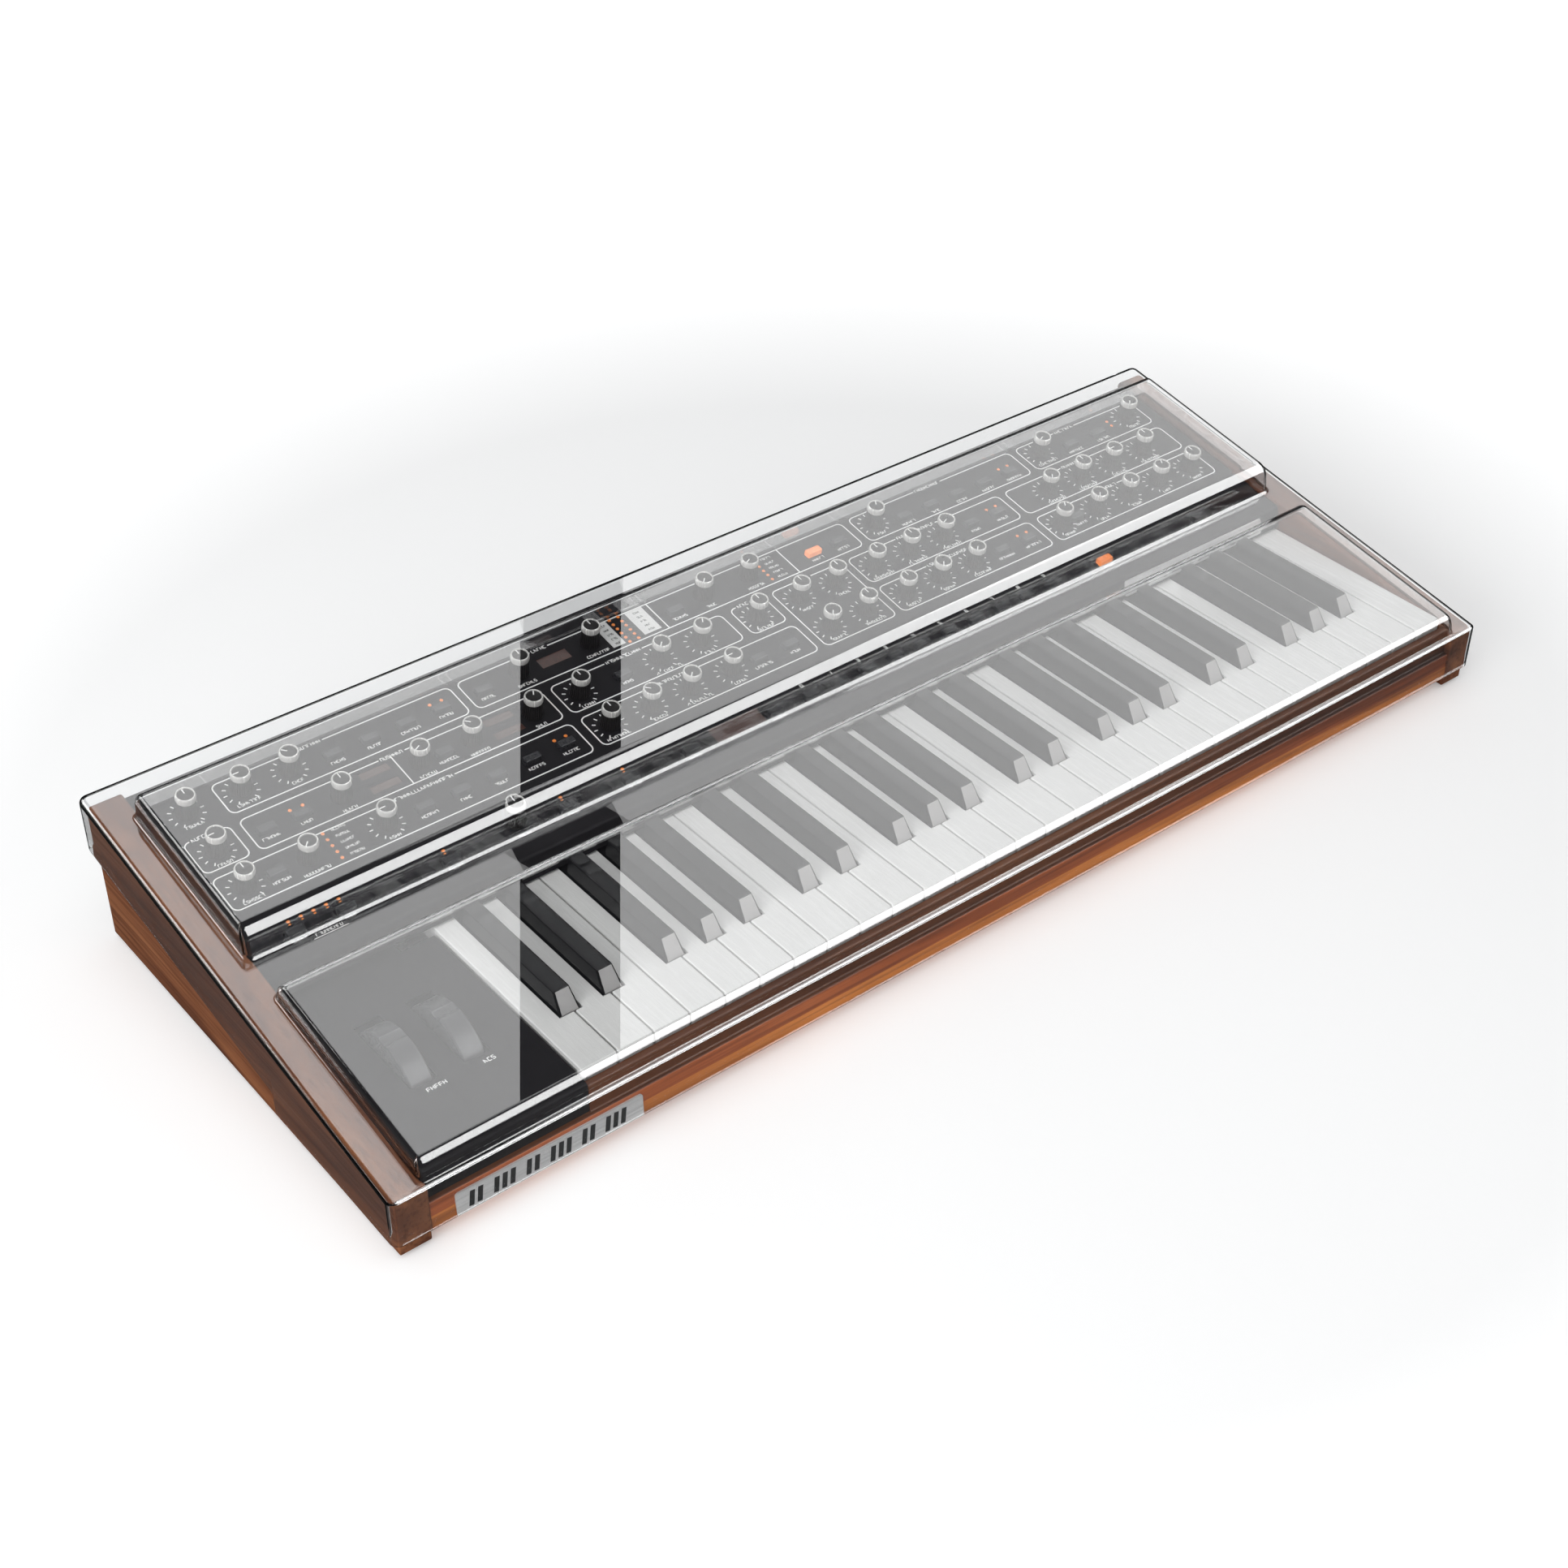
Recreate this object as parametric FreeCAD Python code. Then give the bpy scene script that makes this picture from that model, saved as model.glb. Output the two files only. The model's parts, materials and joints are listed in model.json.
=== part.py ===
"""A 49-key desk synthesizer with walnut end cheeks and a clear dust cover.

Every sub-part is written to its own STEP file in parts/.  Lengths are millimetres.
X runs along the keyboard (bass end negative), Y from the player to the sockets, Z is up.
The shapes are drawn with y = 0 on the front of the cheeks and z = 0 under the cheeks,
and save() moves them to the object's frame: its origin is on the surface the feet stand
on, below the middle of the whole object with its cover on.
"""
import FreeCAD, Part

import math
import os

from FreeCAD import Matrix, Placement, Rotation, Vector

# ---- overall sizes -------------------------------------------------------------------
WIDTH = 812.8
DEPTH = 311.0
CHEEK_THICK = 19.0
CHEEK_FRONT_HEIGHT = 37.5
SLOPE = 10.0
FOOT_DROP = 3.0
INNER_X = WIDTH / 2 - CHEEK_THICK
SIDE_GAP = 0.2
CASE_X = INNER_X - SIDE_GAP

# ---- sheet metal case ----------------------------------------------------------------
SHEET = 1.2
FLOOR_Z = 5.5
FOOT_RADIUS = 9.5
FOOT_BOTTOM_RADIUS = 8.0
PAN_FRONT_Y = 18.5
REAR_PANEL_Y = 306.8
REAR_PANEL_TOP = 87.0
PAN_LOW_SIDE_Z = 30.0
REAR_SCREW_X = [-380.0, -190.0, 0.0, 190.0, 380.0]
REAR_SCREW_Z = 79.0

# ---- front rail ----------------------------------------------------------------------
RAIL_FRONT_Y = 1.0
RAIL_LEDGE_Z = 25.0
RAIL_STEP = 3.2
RAIL_TOP_Z = 42.3
RAIL_THICK_BACK_Y = 17.8
SLIP_BACK_Y = 8.6
REBATE_Z = 21.5
RAIL_EDGE = 1.2

# ---- plain plates --------------------------------------------------------------------
RAIL_PLATE_X = (-373.0, -258.5)
RAIL_PLATE_Z = (7.5, 22.5)
LIP_PLATE_X = (240.5, 369.0)
LIP_PLATE_UP = (1.4, 12.4)

# ---- keyboard ------------------------------------------------------------------------
WHITE_KEYS = 29
KEY_PITCH = 23.25
KEY_GAP = 1.0
KEYS_LEFT = -288.0
KEY_FRONT_Y = 9.9
KEY_VISIBLE_BACK = 144.5
KEY_TAIL_Y = 201.0
KEY_TOP_Z = 46.7
KEY_HEIGHT = 12.0
BLACK_WIDTH = 13.0
BLACK_TOP_WIDTH = 9.8
BLACK_FRONT_Y = 50.6
BLACK_TOP_FRONT_Y = 58.0
BLACK_RISE = 11.0
BLACK_CLEARANCE = 1.0
PIVOT_Y = 195.0
PIVOT_Z = 40.4
PIVOT_RADIUS = 2.5
BEARING_CLEARANCE = 0.08
OCTAVE = ["c", "d", "e", "f", "g", "a", "b"]
BLACK_OFFSETS = {"c": -2.2, "d": 2.2, "f": -3.0, "g": 0.0, "a": 3.0}

# ---- wheels --------------------------------------------------------------------------
WHEEL_PANEL_Z = 44.0
WHEEL_PANEL_RIGHT = -289.0
WHEEL_PANEL_FRONT_Y = 4.4
WHEEL_PANEL_THICK = 1.6
WHEEL_X = {"pitch_wheel": -353.7, "mod_wheel": -322.0}
WHEEL_Y = 83.5
WHEEL_Z = 24.0
WHEEL_RADIUS = 31.0
WHEEL_WIDTH = 13.5
WHEEL_SECTOR = 84.0
SLOT_LENGTH = 58.0
SLOT_WIDTH = 16.0
AXLE_RADIUS = 2.0

# ---- control panel -------------------------------------------------------------------
PANEL_Y = 155.0
PANEL_Z = 62.9
PANEL_THICK = 1.6
PANEL_LENGTH = 153.5
LIP_BOTTOM_Y = 150.5
LIP_BOTTOM_Z = 48.4
LIP_TOP_Y = 153.6
PANEL_BEND_RADIUS = 2.4
PAN_UNDER_PANEL = 1.0
ROW_STRIP = 20.0
ROW_LOW = 60.7
ROW_MID = 91.7
ROW_TOP = 125.3
BOARD_BELOW = 11.0
BOARD_THICK = 1.6

KNOB_HEIGHT = 16.0
KNOB_RADIUS = 6.4
KNOB_TOP_RADIUS = 5.9
KNOB_LIFT = 0.8
SHAFT_RADIUS = 2.9
SHAFT_HOLE_RADIUS = 3.4
POT_DEPTH = 6.5
BUTTON_WIDTH = 11.0
BUTTON_DEPTH = 5.0
BUTTON_HEIGHT = 3.2
BUTTON_GAP = 0.35
LED_RADIUS = 1.1

# Each knob stands at (x, distance up the panel).
TURNING_KNOBS = {
    "master_volume_knob": (-364.2, ROW_TOP),
    "effect_select_knob": (-286.2, ROW_MID),
    "lfo_rate_knob": (-364.2, ROW_LOW),
    "glide_knob": (-214.0, 26.5),
    "tempo_knob": (-144.9, ROW_TOP),
    "value_knob": (-93.5, ROW_TOP),
    "osc1_tune_knob": (-124.0, ROW_MID),
    "osc2_tune_knob": (-124.0, ROW_LOW),
    "mixer_knob": (43.5, ROW_MID),
    "lowpass_cutoff_knob": (105.6, ROW_MID),
    "lowpass_resonance_knob": (134.6, ROW_MID),
    "amp_release_knob": (361.7, ROW_LOW),
}
TOP_ROW_FIXED = [-330.6, -299.9, -7.7, 28.0, 132.0, 280.4, 363.1]
MID_ROW_FIXED = [-364.2, -235.1, -199.9, -157.7, -65.0, -34.1, 9.8, 72.8, 164.0,
                 257.9, 287.4, 316.8, 346.1]
LOW_ROW_FIXED = [-325.4, -276.1, -94.4, -65.0, -34.1, 43.5, 72.8, 105.6, 134.6, 164.0,
                 241.7, 273.3, 302.7, 331.9]

# Each button group shares one node; the buttons stand at (x, distance up the panel).
BUTTON_GROUPS = {
    "program_buttons": (
        [(-95.3, ROW_STRIP), (-32.8, ROW_STRIP)]
        + [(-5.0 + 22.3 * digit, ROW_STRIP) for digit in range(10)]
        + [(241.8, ROW_STRIP), (329.4, ROW_STRIP)]
    ),
    "performance_buttons": (
        [(-357.9, ROW_STRIP), (-326.7, ROW_STRIP), (-260.2, ROW_STRIP)]
        + [(-182.0, ROW_STRIP), (-138.7, ROW_STRIP)]
        + [(306.9, ROW_TOP - 4), (332.8, ROW_TOP - 4)]
    ),
    "routing_buttons": (
        [(-272.8 + 24.1 * place, ROW_TOP - 2) for place in range(4)]
        + [(-345.0, ROW_LOW)]
        + [(-251.1 + 24.0 * place, ROW_LOW) for place in range(5)]
        + [(-333.7, ROW_MID), (-311.5, ROW_MID), (-218.7, ROW_MID)]
    ),
    "clock_buttons": (
        [(-171.2, ROW_TOP - 2), (-31.3, ROW_TOP - 3), (78.9, ROW_TOP - 3)]
        + [(99.9, ROW_TOP - 3)]
        + [(154.0 + 23.5 * place, ROW_TOP - 5) for place in range(5)]
    ),
    "voice_buttons": (
        [(-92.5, ROW_MID), (-12.9, ROW_LOW), (11.5, ROW_LOW), (255.6, ROW_LOW)]
        + [(188.2, ROW_MID), (211.8, ROW_MID), (188.2, ROW_LOW), (211.8, ROW_LOW)]
    ),
}

# These buttons have a pair of lamps just above them.
PAIRED_LED_BUTTONS = [(-311.5, ROW_MID), (-200.5, ROW_TOP - 2), (-155.1, ROW_LOW),
                      (211.8, ROW_MID), (211.8, ROW_LOW), (248.0, ROW_TOP - 5)]
LED_PAIR_X = 4.0
LED_PAIR_UP = 6.4

# Windows are (x, distance up the panel, width, height).
WINDOWS = [
    (-119.4, 125.6, 21.0, 8.6),
    (-260.2, 99.6, 19.0, 5.6),
    (-260.2, 87.3, 19.0, 5.6),
    (-176.8, 99.4, 19.5, 5.6),
    (-176.8, 87.3, 19.5, 5.6),
    (-58.7, 22.2, 36.5, 11.0),
]
WINDOW_THICK = 1.2

# ---- rear sockets --------------------------------------------------------------------
SOCKET_Z = 34.0
JACK_X = [60.0, 30.0, 0.0, -30.0, -120.0, -150.0, -210.0]
JACK_BORE = 3.3
JACK_BUSH_RADIUS = 4.6
JACK_DEPTH = 30.0
JACK_FACE_Y = 310.9
MIDI_X = [190.0, 160.0, 130.0]
MIDI_RADIUS = 8.0
MIDI_MOUTH_RADIUS = 7.2
MIDI_CORE_RADIUS = 5.9
MIDI_DEPTH = 9.0
USB_X = 232.0
INLET_X = 330.0
ROCKER_X = 278.0
ROCKER_PIVOT_Y = 304.4
ROCKER_RADIUS = 9.4

# ---- dust cover ----------------------------------------------------------------------
COVER_WALL = 2.0
COVER_EDGE = 3.8
COVER_CORNER = 5.0
COVER_X = 410.0
COVER_FRONT_Y = -3.0
COVER_BACK_Y = 318.0
COVER_SHELF_Z = 40.0
COVER_LIP_Z = 9.0
COVER_STEP_Y = 115.0
COVER_STEP_LOW_Z = 11.0
COVER_STEP_HIGH_Z = 25.0
COVER_BACK_LIP_Z = 61.0
DOME_X = 390.4
DOME_CORNER = 4.0
FRONT_DOME = {"front": 1.6, "back": 135.7, "rise": 12.0, "front_draft": 1.4,
              "back_draft": 1.6}
REAR_DOME = {"front": 168.2, "back": 285.9, "rise": 18.4, "front_draft": 2.4,
             "back_draft": 2.2}

CENTRE_Y = (COVER_FRONT_Y + COVER_BACK_Y) / 2
RISE = math.tan(math.radians(SLOPE))
SIN = math.sin(math.radians(SLOPE))
COS = math.cos(math.radians(SLOPE))
X_AXIS = Vector(1, 0, 0)
Y_AXIS = Vector(0, 1, 0)
Z_AXIS = Vector(0, 0, 1)


# ---- helpers -------------------------------------------------------------------------
def save(name, shape):
    """Write one sub-part, moved from drawing coordinates to the object's frame."""
    moved = shape.copy()
    moved.translate(Vector(0, -CENTRE_Y, FOOT_DROP))
    moved.exportStep("parts/" + name + ".step")


def group(shapes):
    return Part.makeCompound(shapes)


def box(x_range, y_range, z_range):
    size = [high - low for low, high in (x_range, y_range, z_range)]
    corner = Vector(x_range[0], y_range[0], z_range[0])
    return Part.makeBox(size[0], size[1], size[2], corner)


def prism_x(outline, x_range):
    """Extrude an outline of (y, z) points along X."""
    points = [Vector(x_range[0], y, z) for y, z in outline]
    face = Part.Face(Part.makePolygon(points + points[:1]))
    return face.extrude(Vector(x_range[1] - x_range[0], 0, 0))


def rod_x(radius, x_range, y, z):
    return Part.makeCylinder(radius, x_range[1] - x_range[0], Vector(x_range[0], y, z), X_AXIS)


def rod_y(radius, x, y_range, z):
    return Part.makeCylinder(radius, y_range[1] - y_range[0], Vector(x, y_range[0], z), Y_AXIS)


def rod_z(radius, x, y, z_range):
    return Part.makeCylinder(radius, z_range[1] - z_range[0], Vector(x, y, z_range[0]), Z_AXIS)


def runs_along(edge, axis):
    """True for a straight edge parallel to the axis."""
    if edge.Curve.TypeId != "Part::GeomLine":
        return False
    direction = edge.Curve.Direction
    return abs(direction.dot(axis)) > 0.9999


def round_edges(shape, radius, chosen):
    edges = [edge for edge in shape.Edges if chosen(edge)]
    return shape.makeFillet(radius, edges)


def slope_z(base, y):
    """Height at y of a line that climbs with the instrument's slope from base at y = 0."""
    return base + y * RISE


def on_panel(shape, x, up):
    """Place a shape drawn about the origin, +Z out of the panel and +Y up the panel."""
    placed = shape.copy()
    corner = Vector(x, PANEL_Y + up * COS, PANEL_Z + up * SIN)
    placed.Placement = Placement(corner, Rotation(X_AXIS, SLOPE)).multiply(placed.Placement)
    return placed


def centred_box(width, depth, z_range):
    return box((-width / 2, width / 2), (-depth / 2, depth / 2), z_range)


def mirrored_x(shape):
    matrix = Matrix()
    matrix.scale(-1, 1, 1)
    return shape.transformGeometry(matrix)


# ---- wooden parts --------------------------------------------------------------------
def cheek_screw_places():
    """(y, z) of the screws that hold each cheek to the side of the pan."""
    return [(54.0, 17.0), (150.0, 20.0), (222.0, 45.0), (285.0, 50.0)]


def cheek():
    """The left end cheek: a sloped walnut board with softened edges."""
    x_range = (-WIDTH / 2, -INNER_X)
    outline = [(0, 0), (DEPTH, 0), (DEPTH, slope_z(CHEEK_FRONT_HEIGHT, DEPTH))]
    outline.append((0, CHEEK_FRONT_HEIGHT))
    board = prism_x(outline, x_range)
    nose = round_edges(board, 4.0, lambda edge: runs_along(edge, X_AXIS)
                       and edge.CenterOfMass.z > CHEEK_FRONT_HEIGHT - 1)
    softened = round_edges(nose, 1.0, lambda edge: edge.BoundBox.XLength < 0.01)
    for y, z in cheek_screw_places():
        softened = softened.cut(rod_x(1.7, (-INNER_X - 12, -INNER_X + 1), y, z))
    return softened


def front_rail():
    """The walnut front: a thick lower board with the key slip standing up behind it."""
    lower = box((-CASE_X, CASE_X), (RAIL_FRONT_Y, RAIL_THICK_BACK_Y), (FLOOR_Z, RAIL_LEDGE_Z))
    slip = box((WHEEL_PANEL_RIGHT + 0.4, CASE_X), (RAIL_FRONT_Y + RAIL_STEP, SLIP_BACK_Y),
               (RAIL_LEDGE_Z - 5, RAIL_TOP_Z))
    rebate = box((-CASE_X, CASE_X), (SLIP_BACK_Y, RAIL_THICK_BACK_Y + 1),
                 (REBATE_Z, RAIL_TOP_Z))
    rail = lower.fuse(slip).cut(rebate).removeSplitter()
    return round_edges(rail, RAIL_EDGE, lambda edge: runs_along(edge, X_AXIS)
                       and edge.CenterOfMass.z > RAIL_LEDGE_Z - 0.1)


# ---- sheet metal case ----------------------------------------------------------------
def foot_places():
    return [(x, y) for x in (-340.0, 340.0) for y in (42.0, 276.0)]


def bottom_pan():
    """The folded tray: a floor, a low front flange and two sides."""
    floor = box((-CASE_X, CASE_X), (PAN_FRONT_Y, REAR_PANEL_Y), (FLOOR_Z, FLOOR_Z + SHEET))
    flange = box((-CASE_X, CASE_X), (PAN_FRONT_Y, PAN_FRONT_Y + SHEET), (FLOOR_Z, 20.0))
    panel_under = PANEL_Z - PANEL_THICK - PAN_UNDER_PANEL
    side_outline = [
        (PAN_FRONT_Y, FLOOR_Z),
        (REAR_PANEL_Y, FLOOR_Z),
        (REAR_PANEL_Y, slope_z(panel_under, REAR_PANEL_Y - PANEL_Y)),
        (PANEL_Y + 3, slope_z(panel_under, 3)),
        (PANEL_Y + 3, PAN_LOW_SIDE_Z),
        (PAN_FRONT_Y, PAN_LOW_SIDE_Z - 6),
    ]
    left = prism_x(side_outline, (-CASE_X, -CASE_X + SHEET))
    pan = floor.fuse([flange, left, mirrored_x(left)]).removeSplitter()
    holes = [rod_z(2.0, x, y, (0, 10)) for x, y in foot_places()]
    for y, z in cheek_screw_places():
        holes.append(rod_x(2.0, (-CASE_X - 1, CASE_X + 1), y, z))
    holes.append(rod_x(PIVOT_RADIUS + 0.05, (CASE_X - 2, CASE_X + 1), PIVOT_Y, PIVOT_Z))
    return pan.cut(group(holes))


def rear_panel():
    """The flat back sheet with its socket cut-outs."""
    y_range = (REAR_PANEL_Y, REAR_PANEL_Y + SHEET)
    sheet = box((-CASE_X, CASE_X), y_range, (FLOOR_Z, REAR_PANEL_TOP))
    reach = (REAR_PANEL_Y - 2, REAR_PANEL_Y + SHEET + 2)
    holes = [rod_y(JACK_BUSH_RADIUS + 0.2, x, reach, SOCKET_Z) for x in JACK_X]
    holes += [rod_y(MIDI_RADIUS + 0.2, x, reach, SOCKET_Z) for x in MIDI_X]
    holes.append(box((USB_X - 6.2, USB_X + 6.2), reach, (SOCKET_Z - 5.7, SOCKET_Z + 5.7)))
    holes.append(box((INLET_X - 14, INLET_X + 14), reach, (SOCKET_Z - 10.2, SOCKET_Z + 10.2)))
    holes.append(box((ROCKER_X - 7.2, ROCKER_X + 7.2), reach, (SOCKET_Z - 11, SOCKET_Z + 11)))
    for x in REAR_SCREW_X:
        holes.append(rod_y(1.7, x, reach, REAR_SCREW_Z))
    return sheet.cut(group(holes))


def control_panel():
    """The sloped black panel, its bent front lip and every hole in it."""
    outer = [
        (LIP_BOTTOM_Y, LIP_BOTTOM_Z),
        (LIP_TOP_Y, slope_z(PANEL_Z, LIP_TOP_Y - PANEL_Y)),
        (PANEL_Y + PANEL_LENGTH * COS, PANEL_Z + PANEL_LENGTH * SIN),
    ]
    drop = PANEL_THICK / COS
    inner = [
        (PANEL_Y + PANEL_LENGTH * COS, PANEL_Z + PANEL_LENGTH * SIN - drop),
        (LIP_TOP_Y + PANEL_THICK, slope_z(PANEL_Z, LIP_TOP_Y + PANEL_THICK - PANEL_Y) - drop),
        (LIP_BOTTOM_Y + PANEL_THICK, LIP_BOTTOM_Z),
    ]
    sheet = prism_x(outer + inner, (-CASE_X, CASE_X))
    sheet = round_edges(sheet, PANEL_BEND_RADIUS, lambda edge: runs_along(edge, X_AXIS)
                        and abs(edge.CenterOfMass.y - LIP_TOP_Y) < 0.1)
    through = (-4.0, 2.0)
    holes = []
    for x, up in all_knob_places():
        disc = Part.makeCylinder(SHAFT_HOLE_RADIUS, 6.0, Vector(0, 0, through[0]))
        holes.append(on_panel(disc, x, up))
    opening = centred_box(BUTTON_WIDTH + 2 * BUTTON_GAP, BUTTON_DEPTH + 2 * BUTTON_GAP, through)
    for places in BUTTON_GROUPS.values():
        holes += [on_panel(opening, x, up) for x, up in places]
    for x, up, width, height in WINDOWS:
        holes.append(on_panel(centred_box(width, height, through), x, up))
    led_hole = Part.makeCylinder(LED_RADIUS + 0.1, 6.0, Vector(0, 0, through[0]))
    holes += [on_panel(led_hole, x, up) for x, up in led_places()]
    return sheet.cut(group(holes))


def rubber_feet():
    feet = []
    for x, y in foot_places():
        foot = Part.makeCone(FOOT_BOTTOM_RADIUS, FOOT_RADIUS, FOOT_DROP + FLOOR_Z,
                             Vector(x, y, -FOOT_DROP))
        foot = foot.cut(rod_z(3.6, x, y, (-FOOT_DROP - 1, 1.5)))
        feet.append(foot.cut(rod_z(1.6, x, y, (0, FLOOR_Z + 1))))
    return group(feet)


def screw(length, head_radius, shank_radius):
    """A pan-head screw along +Z: its head on z = 0 and its shank below."""
    head = Part.makeCylinder(head_radius, 2.0)
    head = round_edges(head, 0.8, lambda edge: edge.CenterOfMass.z > 1.9
                       and edge.BoundBox.ZLength < 0.01)
    shank = Part.makeCylinder(shank_radius, length, Vector(0, 0, -length))
    slot = centred_box(1.0, head_radius, (1.0, 3.0))
    cross = centred_box(head_radius, 1.0, (1.0, 3.0))
    return head.fuse(shank).cut(slot.fuse(cross))


def placed_screw(pattern, position, direction):
    turned = pattern.copy()
    turned.Placement = Placement(position, Rotation(Z_AXIS, direction))
    return turned


def case_screws():
    """All the screws of the case: cheeks, feet and rear panel."""
    cheek_screw = screw(12.0, 3.4, 1.6)
    foot_screw = screw(8.0, 3.2, 1.5)
    panel_screw = screw(5.0, 2.8, 1.5)
    screws = []
    for side in (-1, 1):
        inner = side * (CASE_X - SHEET)
        for y, z in cheek_screw_places():
            screws.append(placed_screw(cheek_screw, Vector(inner, y, z), Vector(-side, 0, 0)))
    for x, y in foot_places():
        screws.append(placed_screw(foot_screw, Vector(x, y, 1.4), Vector(0, 0, -1)))
    for x in REAR_SCREW_X:
        back = Vector(x, REAR_PANEL_Y + SHEET, REAR_SCREW_Z)
        screws.append(placed_screw(panel_screw, back, Y_AXIS))
    return group(screws)


# ---- keyboard ------------------------------------------------------------------------
def black_key_centres():
    """(note, x) of each black key from the bass end up."""
    centres = []
    for index in range(WHITE_KEYS - 1):
        name = OCTAVE[index % 7]
        if name in BLACK_OFFSETS:
            boundary = KEYS_LEFT + (index + 1) * KEY_PITCH
            centres.append((name + "_sharp", boundary + BLACK_OFFSETS[name]))
    return centres


def pivot_bore(x_range):
    return rod_x(PIVOT_RADIUS + BEARING_CLEARANCE, x_range, PIVOT_Y, PIVOT_Z)


def white_key(index):
    """One white key with softened top edges, cut away beside its black neighbours."""
    left = KEYS_LEFT + index * KEY_PITCH + KEY_GAP / 2
    right = left + KEY_PITCH - KEY_GAP
    bar = box((left, right), (KEY_FRONT_Y, KEY_TAIL_Y), (KEY_TOP_Z - KEY_HEIGHT, KEY_TOP_Z))
    bar = round_edges(bar, 2.0, lambda edge: runs_along(edge, Z_AXIS)
                      and edge.CenterOfMass.y < KEY_FRONT_Y + 1)
    bar = round_edges(bar, 0.8, lambda edge: edge.BoundBox.ZLength < 0.01
                      and edge.BoundBox.ZMax > KEY_TOP_Z - 0.1
                      and edge.CenterOfMass.y < KEY_TAIL_Y - 1)
    for _, centre in black_key_centres():
        reach = BLACK_WIDTH / 2 + BLACK_CLEARANCE
        if left - reach < centre < right + reach:
            notch = box((centre - reach, centre + reach),
                        (BLACK_FRONT_Y - BLACK_CLEARANCE - 0.3, KEY_TAIL_Y + 1),
                        (KEY_TOP_Z - KEY_HEIGHT - 1, KEY_TOP_Z + 1))
            bar = bar.cut(notch)
    return bar.cut(pivot_bore((left - 1, right + 1)))


def black_key_solid(centre):
    """The black key's tail and its raised top, joined and rounded."""
    half = BLACK_WIDTH / 2
    top_half = BLACK_TOP_WIDTH / 2
    shoulder = KEY_TOP_Z - 0.7
    crown = KEY_TOP_Z + BLACK_RISE
    low = [Vector(centre - half, BLACK_FRONT_Y, shoulder),
           Vector(centre + half, BLACK_FRONT_Y, shoulder),
           Vector(centre + half, KEY_VISIBLE_BACK, shoulder),
           Vector(centre - half, KEY_VISIBLE_BACK, shoulder)]
    high = [Vector(centre - top_half, BLACK_TOP_FRONT_Y, crown),
            Vector(centre + top_half, BLACK_TOP_FRONT_Y, crown),
            Vector(centre + top_half, KEY_VISIBLE_BACK, crown),
            Vector(centre - top_half, KEY_VISIBLE_BACK, crown)]
    wires = [Part.makePolygon(points + points[:1]) for points in (low, high)]
    raised = Part.makeLoft(wires, True, True)
    raised = round_edges(raised, 1.3, lambda edge: edge.BoundBox.ZMin > shoulder - 0.1
                         and edge.BoundBox.ZMax > crown - 0.1
                         and edge.CenterOfMass.y < KEY_VISIBLE_BACK - 0.1)
    tail = box((centre - half, centre + half), (BLACK_FRONT_Y, KEY_TAIL_Y),
               (KEY_TOP_Z - KEY_HEIGHT, shoulder))
    key = tail.fuse(raised).removeSplitter()
    return key.cut(pivot_bore((centre - half - 1, centre + half + 1)))


def keys_by_note():
    """Every key of one note name, in a dictionary of node name to solids."""
    notes = {}
    for index in range(WHITE_KEYS):
        notes.setdefault("key_" + OCTAVE[index % 7], []).append(white_key(index))
    for note, centre in black_key_centres():
        notes.setdefault("key_" + note, []).append(black_key_solid(centre))
    return notes


KEYS_RIGHT = KEYS_LEFT + WHITE_KEYS * KEY_PITCH
FRAME_X = (KEYS_LEFT - 2.6, KEYS_RIGHT - 0.6)
FRAME_Z = FLOOR_Z + SHEET + 0.1
FELT_TOP_Z = 25.4


def key_frame():
    """The steel chassis of the keyboard: base, front guide rail and pivot end plate.

    The base is pierced where the feet screws come up through the pan.
    """
    base = box(FRAME_X, (26.0, 214.0), (FRAME_Z, FRAME_Z + SHEET))
    guide = box(FRAME_X, (26.0, 26.0 + SHEET), (FRAME_Z, 22.4))
    shelf = box(FRAME_X, (26.0, 44.0), (22.4 - SHEET, 22.4))
    end_outline = [(182.0, FRAME_Z), (208.0, FRAME_Z), (202.0, 46.0), (188.0, 46.0)]
    end = prism_x(end_outline, (FRAME_X[0], FRAME_X[0] + 1.8))
    posts = [box((x - 4, x + 4), (70.0, 100.0), (FRAME_Z, 20.0))
             for x in (-270.0, -135.0, 0.0, 135.0, 270.0, 370.0)]
    frame = base.fuse([guide, shelf, end] + posts).removeSplitter()
    holes = [rod_z(2.2, x, y, (FRAME_Z - 1, FRAME_Z + SHEET + 1)) for x, y in foot_places()]
    holes.append(rod_x(PIVOT_RADIUS + 0.05, (FRAME_X[0] - 1, FRAME_X[0] + 3), PIVOT_Y, PIVOT_Z))
    return frame.cut(group(holes))


def key_pivot_rod():
    return rod_x(PIVOT_RADIUS, (FRAME_X[0], CASE_X), PIVOT_Y, PIVOT_Z)


def key_felts():
    """The felt strip that the pressed keys land on."""
    return box((FRAME_X[0] + 2, FRAME_X[1]), (28.0, 43.0), (22.5, FELT_TOP_Z))


def key_contact_board():
    """The long circuit board under the keys with its rubber contact strip."""
    board = box((FRAME_X[0] + 2, FRAME_X[1] - 2), (62.0, 108.0), (20.1, 21.7))
    strip = box((FRAME_X[0] + 4, FRAME_X[1] - 4), (76.0, 94.0), (21.8, 24.0))
    domes = []
    for index in range(WHITE_KEYS):
        x = KEYS_LEFT + (index + 0.5) * KEY_PITCH
        domes.append(Part.makeCone(4.0, 2.6, 3.6, Vector(x, 85.0, 23.9)))
    return group([board, strip.fuse(domes)])


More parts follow.
